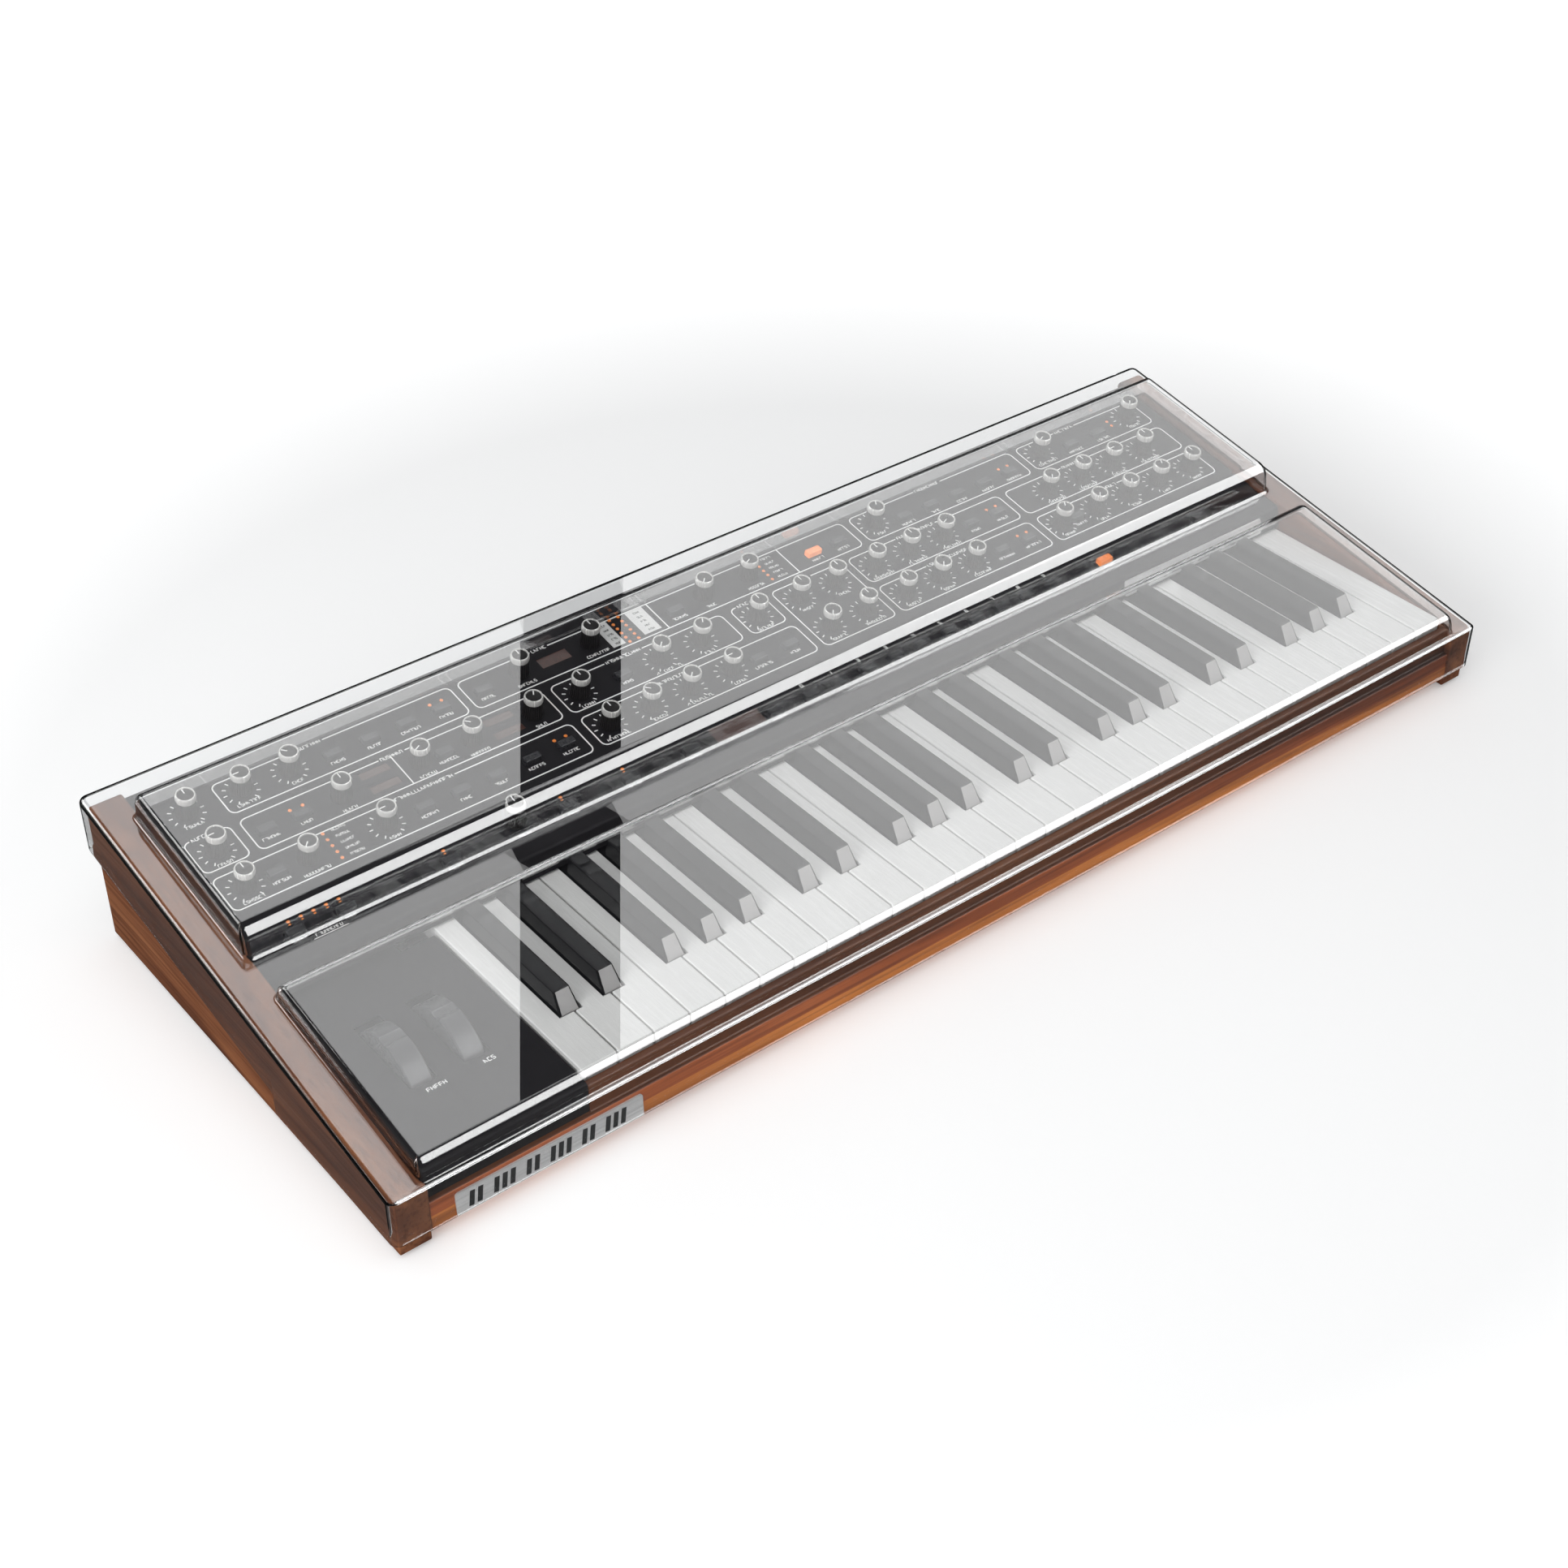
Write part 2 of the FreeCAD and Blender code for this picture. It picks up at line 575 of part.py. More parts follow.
# ---- wheels --------------------------------------------------------------------------
def wheel(x):
    """A partial disc on a hub, with a thumb notch at the middle of its rim."""
    x_range = (x - WHEEL_WIDTH / 2, x + WHEEL_WIDTH / 2)
    disc = rod_x(WHEEL_RADIUS, x_range, WHEEL_Y, WHEEL_Z)
    disc = round_edges(disc, 1.2, lambda edge: edge.BoundBox.XLength < 0.01)
    drop = math.cos(math.radians(WHEEL_SECTOR)) * WHEEL_RADIUS
    reach = WHEEL_RADIUS + 1
    below = prism_x([(WHEEL_Y, WHEEL_Z), (WHEEL_Y + reach, WHEEL_Z + drop),
                     (WHEEL_Y + reach, WHEEL_Z - reach), (WHEEL_Y - reach, WHEEL_Z - reach),
                     (WHEEL_Y - reach, WHEEL_Z + drop)], (x_range[0] - 1, x_range[1] + 1))
    hub = rod_x(7.0, x_range, WHEEL_Y, WHEEL_Z)
    notch = rod_x(6.0, (x_range[0] - 1, x_range[1] + 1), WHEEL_Y, WHEEL_Z + WHEEL_RADIUS + 4.4)
    bore = rod_x(AXLE_RADIUS + BEARING_CLEARANCE, (x_range[0] - 1, x_range[1] + 1),
                 WHEEL_Y, WHEEL_Z)
    return disc.cut(below).fuse(hub).cut(notch).cut(bore)


def wheel_panel():
    """The black plate beside the keys, folded down at the front and beside the first key."""
    x_range = (-CASE_X, WHEEL_PANEL_RIGHT)
    top = box(x_range, (WHEEL_PANEL_FRONT_Y, 148.8),
              (WHEEL_PANEL_Z - WHEEL_PANEL_THICK, WHEEL_PANEL_Z))
    front = box(x_range, (WHEEL_PANEL_FRONT_Y, WHEEL_PANEL_FRONT_Y + WHEEL_PANEL_THICK),
                (RAIL_LEDGE_Z + 0.2, WHEEL_PANEL_Z))
    side = box((WHEEL_PANEL_RIGHT - WHEEL_PANEL_THICK, WHEEL_PANEL_RIGHT),
               (WHEEL_PANEL_FRONT_Y, 148.8), (RAIL_LEDGE_Z + 0.2, WHEEL_PANEL_Z))
    plate = top.fuse([front, side]).removeSplitter()
    plate = round_edges(plate, 1.4, lambda edge: runs_along(edge, X_AXIS)
                        and edge.CenterOfMass.y < WHEEL_PANEL_FRONT_Y + 0.1
                        and edge.CenterOfMass.z > WHEEL_PANEL_Z - 0.1)
    for x in WHEEL_X.values():
        slot = box((x - SLOT_WIDTH / 2, x + SLOT_WIDTH / 2),
                   (WHEEL_Y - SLOT_LENGTH / 2, WHEEL_Y + SLOT_LENGTH / 2),
                   (WHEEL_PANEL_Z - 3, WHEEL_PANEL_Z + 1))
        slot = round_edges(slot, 1.5, lambda edge: runs_along(edge, Z_AXIS))
        plate = plate.cut(slot)
    return plate


def wheel_bracket():
    """The steel bracket and the axle that both wheels turn on."""
    base = box((-371.0, -304.0), (66.0, 101.0), (FLOOR_Z + SHEET + 0.1, FLOOR_Z + 2 * SHEET))
    outline = [(68.0, FLOOR_Z + SHEET + 0.1), (99.0, FLOOR_Z + SHEET + 0.1), (89.0, 32.0),
               (78.0, 32.0)]
    ears = [prism_x(outline, (x, x + SHEET)) for x in (-369.0, -338.5, -308.0)]
    axle = rod_x(AXLE_RADIUS, (-371.0, -304.5), WHEEL_Y, WHEEL_Z)
    return base.fuse(ears + [axle]).removeSplitter()


# ---- knobs, buttons, lamps and windows -------------------------------------------------
def fixed_knob_places():
    rows = ((TOP_ROW_FIXED, ROW_TOP), (MID_ROW_FIXED, ROW_MID), (LOW_ROW_FIXED, ROW_LOW))
    return [(x, up) for row, up in rows for x in row]


def all_knob_places():
    return list(TURNING_KNOBS.values()) + fixed_knob_places()


def knob_body():
    """A tapered knob about the origin, bevelled at its top edge, with a pointer groove."""
    edge = 0.9
    outline = [(0, KNOB_LIFT), (KNOB_RADIUS, KNOB_LIFT), (KNOB_TOP_RADIUS, KNOB_HEIGHT - edge),
               (KNOB_TOP_RADIUS - edge, KNOB_HEIGHT), (0, KNOB_HEIGHT)]
    points = [Vector(radius, 0, height) for radius, height in outline]
    face = Part.Face(Part.makePolygon(points + points[:1]))
    knob = face.revolve(Vector(0, 0, 0), Z_AXIS, 360)
    pointer = box((-0.5, 0.5), (0.5, KNOB_TOP_RADIUS - edge), (KNOB_HEIGHT - 0.4, KNOB_HEIGHT + 1))
    return knob.cut(pointer)


def turning_knob():
    """A knob pushed on its own shaft, which reaches down into the control's body."""
    bore = Part.makeCylinder(SHAFT_RADIUS, KNOB_HEIGHT - 4)
    shaft = Part.makeCylinder(SHAFT_RADIUS - 0.05, KNOB_HEIGHT + 1.2, Vector(0, 0, -6.0))
    return group([knob_body().cut(bore), shaft])


def potentiometer(with_shaft):
    """A control's body under the panel; a fixed control keeps its shaft."""
    height = (-BOARD_BELOW + BOARD_THICK, -BOARD_BELOW + BOARD_THICK + POT_DEPTH)
    body = centred_box(9.6, 11.0, height)
    if with_shaft:
        shaft = Part.makeCylinder(SHAFT_RADIUS, KNOB_LIFT - 0.1 - height[1] + 0.5,
                                  Vector(0, 0, height[1] - 0.5))
        return body.fuse(shaft)
    return body.cut(Part.makeCylinder(SHAFT_RADIUS + 0.05, 20, Vector(0, 0, -6.6)))


def button():
    """A rectangular push button with softened top edges and a stem."""
    cap = centred_box(BUTTON_WIDTH, BUTTON_DEPTH, (-2.6, BUTTON_HEIGHT))
    cap = round_edges(cap, 0.6, lambda edge: edge.BoundBox.ZMin > BUTTON_HEIGHT - 0.1
                      or runs_along(edge, Z_AXIS))
    return cap.fuse(centred_box(3.0, 3.0, (-4.8, -2.6)))


def led_places():
    """(x, distance up the panel) of every single lamp."""
    transpose = [(-357.4 + 7.7 * step, 27.6) for step in range(5)]
    lfo_shape = [(-309.4, 73.2 - 5.2 * step) for step in range(5)]
    clock_rate = [(-71.2, 136.4 - 4.4 * step) for step in range(6)]
    sequence = [(-64.6, 136.4 - 4.4 * step) for step in range(6)]
    arpeggio = [(40.5, 134.0 - 4.6 * step) for step in range(5)]
    over_buttons = [(x, ROW_STRIP + 7.6) for x in (-260.2, -182.0, -138.7)]
    misc = [(348.0, ROW_TOP + 3.0), (348.0, ROW_TOP - 2.0)]
    places = transpose + lfo_shape + clock_rate + sequence + arpeggio + over_buttons + misc
    for x, up in PAIRED_LED_BUTTONS:
        places += [(x - LED_PAIR_X, up + LED_PAIR_UP), (x + LED_PAIR_X, up + LED_PAIR_UP)]
    return places


def panel_leds():
    lamp = Part.makeCylinder(LED_RADIUS, BOARD_BELOW - BOARD_THICK + 0.3,
                             Vector(0, 0, -BOARD_BELOW + BOARD_THICK))
    lamp = round_edges(lamp, 0.4, lambda edge: edge.BoundBox.ZMin > 0.2)
    return group([on_panel(lamp, x, up) for x, up in led_places()])


def display_windows():
    """Tinted windows set just below the panel's face."""
    panes = []
    for x, up, width, height in WINDOWS:
        pane = centred_box(width - 0.2, height - 0.2, (-WINDOW_THICK - 0.2, -0.2))
        panes.append(on_panel(pane, x, up))
    return group(panes)


def panel_board():
    """The circuit board behind the panel with its controls, switches and displays."""
    height = (-BOARD_BELOW, -BOARD_BELOW + BOARD_THICK)
    board = box((-CASE_X + 8, CASE_X - 8), (10.0, 148.0), height)
    solids = [on_panel(board, 0, 0)]
    solids += [on_panel(potentiometer(False), x, up) for x, up in TURNING_KNOBS.values()]
    solids += [on_panel(potentiometer(True), x, up) for x, up in fixed_knob_places()]
    switch = centred_box(6.0, 6.0, (height[1], -6.0))
    for places in BUTTON_GROUPS.values():
        solids += [on_panel(switch, x, up) for x, up in places]
    for x, up, width, depth in WINDOWS:
        module = centred_box(width - 1, depth - 1, (height[1], -WINDOW_THICK - 0.4))
        solids.append(on_panel(module, x, up))
    return group(solids)


def badges():
    """Two plain metal plates: one on the front rail, one on the panel's front lip."""
    rail_plate = box(RAIL_PLATE_X, (RAIL_FRONT_Y - 1.0, RAIL_FRONT_Y), RAIL_PLATE_Z)
    rail_plate = round_edges(rail_plate, 2.0, lambda edge: runs_along(edge, Y_AXIS))
    lip = Vector(0, LIP_TOP_Y - LIP_BOTTOM_Y, slope_z(PANEL_Z, LIP_TOP_Y - PANEL_Y) - LIP_BOTTOM_Z)
    tilt = math.degrees(math.atan2(lip.y, lip.z))
    lip_plate = box(LIP_PLATE_X, (-0.8, 0.0), LIP_PLATE_UP)
    lip_plate = round_edges(lip_plate, 1.5, lambda edge: runs_along(edge, Y_AXIS))
    lip_plate.Placement = Placement(Vector(0, LIP_BOTTOM_Y, LIP_BOTTOM_Z),
                                    Rotation(X_AXIS, -tilt))
    return group([rail_plate, lip_plate])


# ---- electronics inside --------------------------------------------------------------
LOGIC_X = (-190.0, 130.0)
LOGIC_Y = (222.0, 276.0)
MAIN_BOARD_Z = 14.0
VOICE_BOARD_Z = 34.0
SUPPLY_BOARD_Z = 12.0


def circuit_board(x_range, y_range, z, parts):
    """A board with parts on it, each part being (x, y, width, depth, height)."""
    solids = [box(x_range, y_range, (z, z + BOARD_THICK))]
    for x, y, width, depth, height in parts:
        solids.append(box((x, x + width), (y, y + depth),
                          (z + BOARD_THICK, z + BOARD_THICK + height)))
    return group(solids)


def standoffs(places, z_range):
    return [rod_z(3.0, x, y, z_range) for x, y in places]


def main_board():
    """The processor board on standoffs, behind the keyboard."""
    chips = [(-170.0 + 48.0 * step, 236.0, 20.0, 20.0, 2.4) for step in range(6)]
    chips += [(-160.0 + 60.0 * step, 262.0, 12.0, 8.0, 9.0) for step in range(5)]
    board = circuit_board(LOGIC_X, LOGIC_Y, MAIN_BOARD_Z, chips)
    feet = standoffs([(x, y) for x in (-182.0, 122.0) for y in (228.0, 270.0)],
                     (FLOOR_Z + SHEET, MAIN_BOARD_Z))
    return group([board] + feet)


def voice_board():
    """The sound board that stands above the processor board."""
    chips = []
    for voice in range(8):
        chips.append((-180.0 + 38.0 * voice, 226.0, 9.0, 18.0, 3.0))
        chips.append((-166.0 + 38.0 * voice, 226.0, 9.0, 18.0, 3.0))
        chips.append((-174.0 + 38.0 * voice, 252.0, 14.0, 8.0, 6.0))
    board = circuit_board(LOGIC_X, LOGIC_Y, VOICE_BOARD_Z, chips)
    feet = standoffs([(x, y) for x in (-186.0, 126.0) for y in (248.0, 256.0)],
                     (MAIN_BOARD_Z + BOARD_THICK, VOICE_BOARD_Z))
    return group([board] + feet)


def power_supply():
    """The mains power supply: a board with its transformer and capacitors."""
    parts = [(262.0, 226.0, 34.0, 28.0, 26.0), (304.0, 230.0, 16.0, 24.0, 18.0)]
    board = circuit_board((250.0, 372.0), (222.0, 284.0), SUPPLY_BOARD_Z, parts)
    cans = [rod_z(6.0, 334.0 + 15.0 * step, 242.0, (SUPPLY_BOARD_Z + BOARD_THICK, 36.0))
            for step in range(3)]
    feet = standoffs([(x, y) for x in (255.0, 367.0) for y in (227.0, 279.0)],
                     (FLOOR_Z + SHEET, SUPPLY_BOARD_Z))
    return group([board] + cans + feet)


# ---- rear sockets --------------------------------------------------------------------
def audio_jack(x):
    """A quarter-inch socket: body, threaded bush and nut, with one bore through them."""
    inside_y = JACK_FACE_Y - JACK_DEPTH - 1.5
    body = box((x - 8, x + 8), (inside_y, REAR_PANEL_Y - 0.1), (SOCKET_Z - 8, SOCKET_Z + 8))
    bush = rod_y(JACK_BUSH_RADIUS, x, (REAR_PANEL_Y - 0.2, JACK_FACE_Y), SOCKET_Z)
    bore = rod_y(JACK_BORE, x, (JACK_FACE_Y - JACK_DEPTH, JACK_FACE_Y + 1), SOCKET_Z)
    nut_y = REAR_PANEL_Y + SHEET + 0.1
    corners = [Vector(x + 7.2 * math.cos(math.radians(60 * step)), nut_y,
                      SOCKET_Z + 7.2 * math.sin(math.radians(60 * step))) for step in range(6)]
    nut = Part.Face(Part.makePolygon(corners + corners[:1])).extrude(Vector(0, 2.0, 0))
    nut = nut.cut(rod_y(JACK_BUSH_RADIUS + 0.02, x, (nut_y - 1, nut_y + 3), SOCKET_Z))
    return [body.fuse(bush).cut(bore), nut]


def audio_jacks():
    return group([solid for x in JACK_X for solid in audio_jack(x)])


def midi_socket(x):
    """A five-pin round socket: a body with a round mouth, and a core with its pin holes."""
    face_y = REAR_PANEL_Y + SHEET + 0.6
    body = box((x - 10, x + 10), (294.0, REAR_PANEL_Y - 0.1), (SOCKET_Z - 10, SOCKET_Z + 10))
    front = rod_y(MIDI_RADIUS, x, (REAR_PANEL_Y - 0.2, face_y), SOCKET_Z)
    mouth = rod_y(MIDI_MOUTH_RADIUS, x, (face_y - MIDI_DEPTH, face_y + 1), SOCKET_Z)
    core = rod_y(MIDI_CORE_RADIUS, x, (face_y - MIDI_DEPTH, face_y), SOCKET_Z)
    for step in range(5):
        angle = math.radians(45 * step)
        pin_x = x + 4.2 * math.cos(angle)
        pin_z = SOCKET_Z - 4.2 * math.sin(angle)
        core = core.cut(rod_y(0.8, pin_x, (face_y - MIDI_DEPTH + 1, face_y + 1), pin_z))
    return [body.fuse(front).cut(mouth), core]


def usb_socket():
    """A square data socket with its tongue."""
    face_y = REAR_PANEL_Y + SHEET + 0.5
    shell = box((USB_X - 6, USB_X + 6), (292.0, face_y), (SOCKET_Z - 5.5, SOCKET_Z + 5.5))
    mouth = box((USB_X - 4.2, USB_X + 4.2), (face_y - 10, face_y + 1),
                (SOCKET_Z - 4.0, SOCKET_Z + 4.0))
    tongue = box((USB_X - 2.8, USB_X + 2.8), (face_y - 10, face_y - 1.5),
                 (SOCKET_Z - 1.6, SOCKET_Z + 1.6))
    return shell.cut(mouth.cut(tongue))


def power_inlet():
    """The mains inlet: flanged body, six-sided cavity and three blades."""
    flange_y = REAR_PANEL_Y + SHEET
    flange = box((INLET_X - 25, INLET_X + 25), (flange_y + 0.05, flange_y + 1.9),
                 (SOCKET_Z - 12, SOCKET_Z + 12))
    flange = round_edges(flange, 3.0, lambda edge: runs_along(edge, Y_AXIS))
    body = box((INLET_X - 13.8, INLET_X + 13.8), (288.0, flange_y + 1.0),
               (SOCKET_Z - 10, SOCKET_Z + 10))
    half_width = 12.2
    half_height = 8.2
    cut_corner = 4.5
    mouth = [(-half_width, -half_height), (half_width, -half_height),
             (half_width, half_height - cut_corner), (half_width - cut_corner, half_height),
             (-half_width + cut_corner, half_height), (-half_width, half_height - cut_corner)]
    floor_y = flange_y - 14
    corners = [Vector(INLET_X + x, floor_y, SOCKET_Z + z) for x, z in mouth]
    cavity = Part.Face(Part.makePolygon(corners + corners[:1])).extrude(Vector(0, 20, 0))
    inlet = flange.fuse(body).cut(cavity)
    blades = []
    for x, z in ((-7.0, 0.0), (7.0, 0.0), (0.0, 3.4)):
        blades.append(box((INLET_X + x - 1, INLET_X + x + 1), (floor_y - 0.5, flange_y - 1),
                          (SOCKET_Z + z - 2, SOCKET_Z + z + 2)))
    return inlet.fuse(blades)


def rocker_frame():
    """The bezel that the power rocker tips in."""
    flange_y = REAR_PANEL_Y + SHEET
    rim = box((ROCKER_X - 9.5, ROCKER_X + 9.5), (flange_y + 0.05, flange_y + 1.6),
              (SOCKET_Z - 13, SOCKET_Z + 13))
    body = box((ROCKER_X - 7, ROCKER_X + 7), (290.0, flange_y + 1.0),
               (SOCKET_Z - 10.8, SOCKET_Z + 10.8))
    well = box((ROCKER_X - 6, ROCKER_X + 6), (294.0, flange_y + 3),
               (SOCKET_Z - 9.8, SOCKET_Z + 9.8))
    pins = rod_x(1.2, (ROCKER_X - 6.5, ROCKER_X + 6.5), ROCKER_PIVOT_Y, SOCKET_Z)
    return rim.fuse(body).cut(well).fuse(pins)


def power_rocker():
    """The rocker, tipped to its off side, with a bore for its pin."""
    tip = math.radians(62)
    corner_y = ROCKER_RADIUS * math.cos(tip)
    corner_z = ROCKER_RADIUS * math.sin(tip)
    outline = [(-4.0, -5.0), (corner_y, -corner_z), (corner_y - 1.1, 0), (corner_y, corner_z),
               (-4.0, 5.0)]
    rocker = prism_x(outline, (-5.6, 5.6))
    rocker = rocker.cut(rod_x(1.2 + BEARING_CLEARANCE, (-6, 6), 0, 0))
    rocker.Placement = Placement(Vector(ROCKER_X, ROCKER_PIVOT_Y, SOCKET_Z),
                                 Rotation(X_AXIS, -8.0))
    return rocker


# ---- dust cover ----------------------------------------------------------------------
def shelf_z(y):
    return slope_z(COVER_SHELF_Z, y)


def dome(sizes, inset):
    """One raised box of the cover, drawn smaller by inset, with every outer edge rounded."""
    front = sizes["front"] + inset
    back = sizes["back"] - inset
    rise = sizes["rise"] - inset
    base = 6.0
    front_lean = sizes["front_draft"] * (rise + base) / sizes["rise"]
    back_lean = sizes["back_draft"] * (rise + base) / sizes["rise"]
    outline = [(front - front_lean, shelf_z(front) - base), (front, shelf_z(front) + rise),
               (back, shelf_z(back) + rise), (back + back_lean, shelf_z(back) - base)]
    half = DOME_X - inset
    block = prism_x(outline, (-half, half))
    block = round_edges(block, DOME_CORNER - inset, lambda edge: edge.BoundBox.XLength < 0.01
                        and edge.BoundBox.YLength < edge.BoundBox.ZLength)
    lowest = shelf_z(front) - base
    return round_edges(block, COVER_EDGE - inset, lambda edge: edge.BoundBox.ZMin > lowest + base
                       and on_dome_top(edge, rise))


def on_dome_top(edge, rise):
    """True if the whole edge lies in the plane of a dome's top."""
    for vertex in edge.Vertexes:
        if abs(vertex.Point.z - shelf_z(vertex.Point.y) - rise) > 0.05:
            return False
    return True


def skirt(inset):
    """The cover's outer box, drawn smaller by inset; the inner one is open below."""
    front = COVER_FRONT_Y + inset
    back = COVER_BACK_Y - inset
    half = COVER_X - inset
    if inset:
        lower = [(back, -20), (front, -20)]
    else:
        lower = [(back, COVER_BACK_LIP_Z), (COVER_STEP_Y, COVER_STEP_HIGH_Z),
                 (COVER_STEP_Y, COVER_STEP_LOW_Z), (front, COVER_LIP_Z)]
    top = COVER_SHELF_Z - inset / COS
    outline = [(front, slope_z(top, front)), (back, slope_z(top, back))] + lower
    block = prism_x(outline, (-half, half))
    block = round_edges(block, COVER_CORNER - inset, lambda edge: runs_along(edge, Z_AXIS)
                        and is_outer_corner(edge))
    return round_edges(block, COVER_EDGE - inset, lambda edge: on_plane_of_shelf(edge, top))


def is_outer_corner(edge):
    """True near the cover's front or back wall, and false at the step of its skirt."""
    return abs(edge.CenterOfMass.y - CENTRE_Y) > CENTRE_Y - 10


def on_plane_of_shelf(edge, top):
    """True if the whole edge lies in the sloped plane of the cover's shelf."""
    for vertex in edge.Vertexes:
        if abs(vertex.Point.z - slope_z(top, vertex.Point.y)) > 0.05:
            return False
    return True


def dust_cover():
    """The clear cover: one thin shell with two raised boxes and a stepped skirt."""
    outside = skirt(0).fuse([dome(FRONT_DOME, 0), dome(REAR_DOME, 0)])
    inside = skirt(COVER_WALL).fuse([dome(FRONT_DOME, COVER_WALL), dome(REAR_DOME, COVER_WALL)])
    return outside.cut(inside).removeSplitter()


# ---- everything ----------------------------------------------------------------------
def static_parts():
    left_cheek = cheek()
    return {
        "left_cheek": left_cheek,
        "right_cheek": mirrored_x(left_cheek),
        "front_rail": front_rail(),
        "bottom_pan": bottom_pan(),
        "rear_panel": rear_panel(),
        "control_panel": control_panel(),
        "rubber_feet": rubber_feet(),
        "case_screws": case_screws(),
        "key_frame": key_frame(),
        "key_pivot_rod": key_pivot_rod(),
        "key_felts": key_felts(),
        "key_contact_board": key_contact_board(),
        "wheel_panel": wheel_panel(),
        "wheel_bracket": wheel_bracket(),
        "panel_leds": panel_leds(),
        "display_windows": display_windows(),
        "panel_board": panel_board(),
        "badges": badges(),
        "main_board": main_board(),
        "voice_board": voice_board(),
        "power_supply": power_supply(),
        "audio_jacks": audio_jacks(),
        "midi_sockets": group([solid for x in MIDI_X for solid in midi_socket(x)]),
        "usb_socket": usb_socket(),
        "power_inlet": power_inlet(),
        "rocker_frame": rocker_frame(),
    }


def moving_parts():
    parts = {name: group(solids) for name, solids in keys_by_note().items()}
    for name, x in WHEEL_X.items():
        parts[name] = wheel(x)
    knob = turning_knob()
    for name, (x, up) in TURNING_KNOBS.items():
        parts[name] = on_panel(knob, x, up)
    pattern = button()
    for name, places in BUTTON_GROUPS.items():
        parts[name] = group([on_panel(pattern, x, up) for x, up in places])
    parts["power_rocker"] = power_rocker()
    parts["dust_cover"] = dust_cover()
    return parts


def main():
    os.makedirs("parts", exist_ok=True)
    fixed = knob_body()
    for name, shape in static_parts().items():
        save(name, shape)
    save("fixed_knobs", group([on_panel(fixed, x, up) for x, up in fixed_knob_places()]))
    for name, shape in moving_parts().items():
        save(name, shape)


main()
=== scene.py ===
"""Looks, lights and camera for the 49-key synthesizer under its clear dust cover.

Knobs, buttons and artwork are laid out in millimetres along and up the sloped panel.
Everything else is in metres in the part's own frame: X along the keys, Y to the back, Z up.
"""

import json
import math
import random

import bmesh
import bpy
from mathutils import Matrix, Vector


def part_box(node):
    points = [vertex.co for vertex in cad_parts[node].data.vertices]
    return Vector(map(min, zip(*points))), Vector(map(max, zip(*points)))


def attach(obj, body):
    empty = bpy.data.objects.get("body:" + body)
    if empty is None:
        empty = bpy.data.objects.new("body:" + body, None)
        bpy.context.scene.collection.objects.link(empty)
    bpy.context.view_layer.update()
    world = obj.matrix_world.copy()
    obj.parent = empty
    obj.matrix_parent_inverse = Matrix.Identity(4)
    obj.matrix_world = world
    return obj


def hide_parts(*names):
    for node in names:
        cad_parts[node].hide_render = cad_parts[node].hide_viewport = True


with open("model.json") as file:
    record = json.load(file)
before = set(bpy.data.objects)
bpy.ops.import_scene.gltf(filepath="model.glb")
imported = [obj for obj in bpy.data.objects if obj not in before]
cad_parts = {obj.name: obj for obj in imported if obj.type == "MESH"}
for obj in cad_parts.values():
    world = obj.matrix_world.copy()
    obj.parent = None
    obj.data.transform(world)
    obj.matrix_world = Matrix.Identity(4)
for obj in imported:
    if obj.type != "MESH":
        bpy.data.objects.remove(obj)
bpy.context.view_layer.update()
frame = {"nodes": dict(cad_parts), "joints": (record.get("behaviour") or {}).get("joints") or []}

MM = 0.001
SLOPE = math.radians(10.0)
NODES = frame["nodes"]
JOINTS = {joint["name"]: joint for joint in frame["joints"]}
# How far up the panel, in millimetres, the top row of knobs stands from the front bend.
TOP_KNOB_ROW = 125.3
WELD_DISTANCE = 1e-6


# ---- the panel's own frame -----------------------------------------------------------
def panel_matrix():
    """From panel millimetres (x, distance up from the bend, height) to the part's frame."""
    volume = Vector(JOINTS["master_volume_turn"]["pos_m"])
    normal = Vector(JOINTS["master_volume_turn"]["axis"])
    along = Vector((1, 0, 0))
    up = normal.cross(along)
    bend = volume - up * (TOP_KNOB_ROW * MM)
    columns = Matrix((along * MM, up * MM, normal * MM)).transposed().to_4x4()
    return Matrix.Translation((0, bend.y, bend.z)) @ columns


PANEL = panel_matrix()
FROM_PANEL = PANEL.inverted()


def solid_boxes(node, to_local):
    """(lowest, highest) corners of each separate solid of a CAD node, in local units."""
    mesh = bmesh.new()
    mesh.from_mesh(NODES[node].data)
    bmesh.ops.remove_doubles(mesh, verts=mesh.verts, dist=WELD_DISTANCE)
    waiting = set(mesh.verts)
    boxes = []
    while waiting:
        reached = [waiting.pop()]
        points = []
        while reached:
            vertex = reached.pop()
            points.append(to_local @ vertex.co)
            for edge in vertex.link_edges:
                other = edge.other_vert(vertex)
                if other in waiting:
                    waiting.discard(other)
                    reached.append(other)
        low = Vector([min(point[axis] for point in points) for axis in range(3)])
        high = Vector([max(point[axis] for point in points) for axis in range(3)])
        boxes.append((low, high))
    mesh.free()
    return sorted(boxes, key=lambda box: (round(box[0].y, 4), box[0].x))


def middle(box):
    return (box[0] + box[1]) / 2


def near(place, places, reach=1.5):
    """Whether an (x, up) place is within reach, in millimetres, of one of the places."""
    return any(abs(place[0] - x) < reach and abs(place[1] - up) < reach for x, up in places)


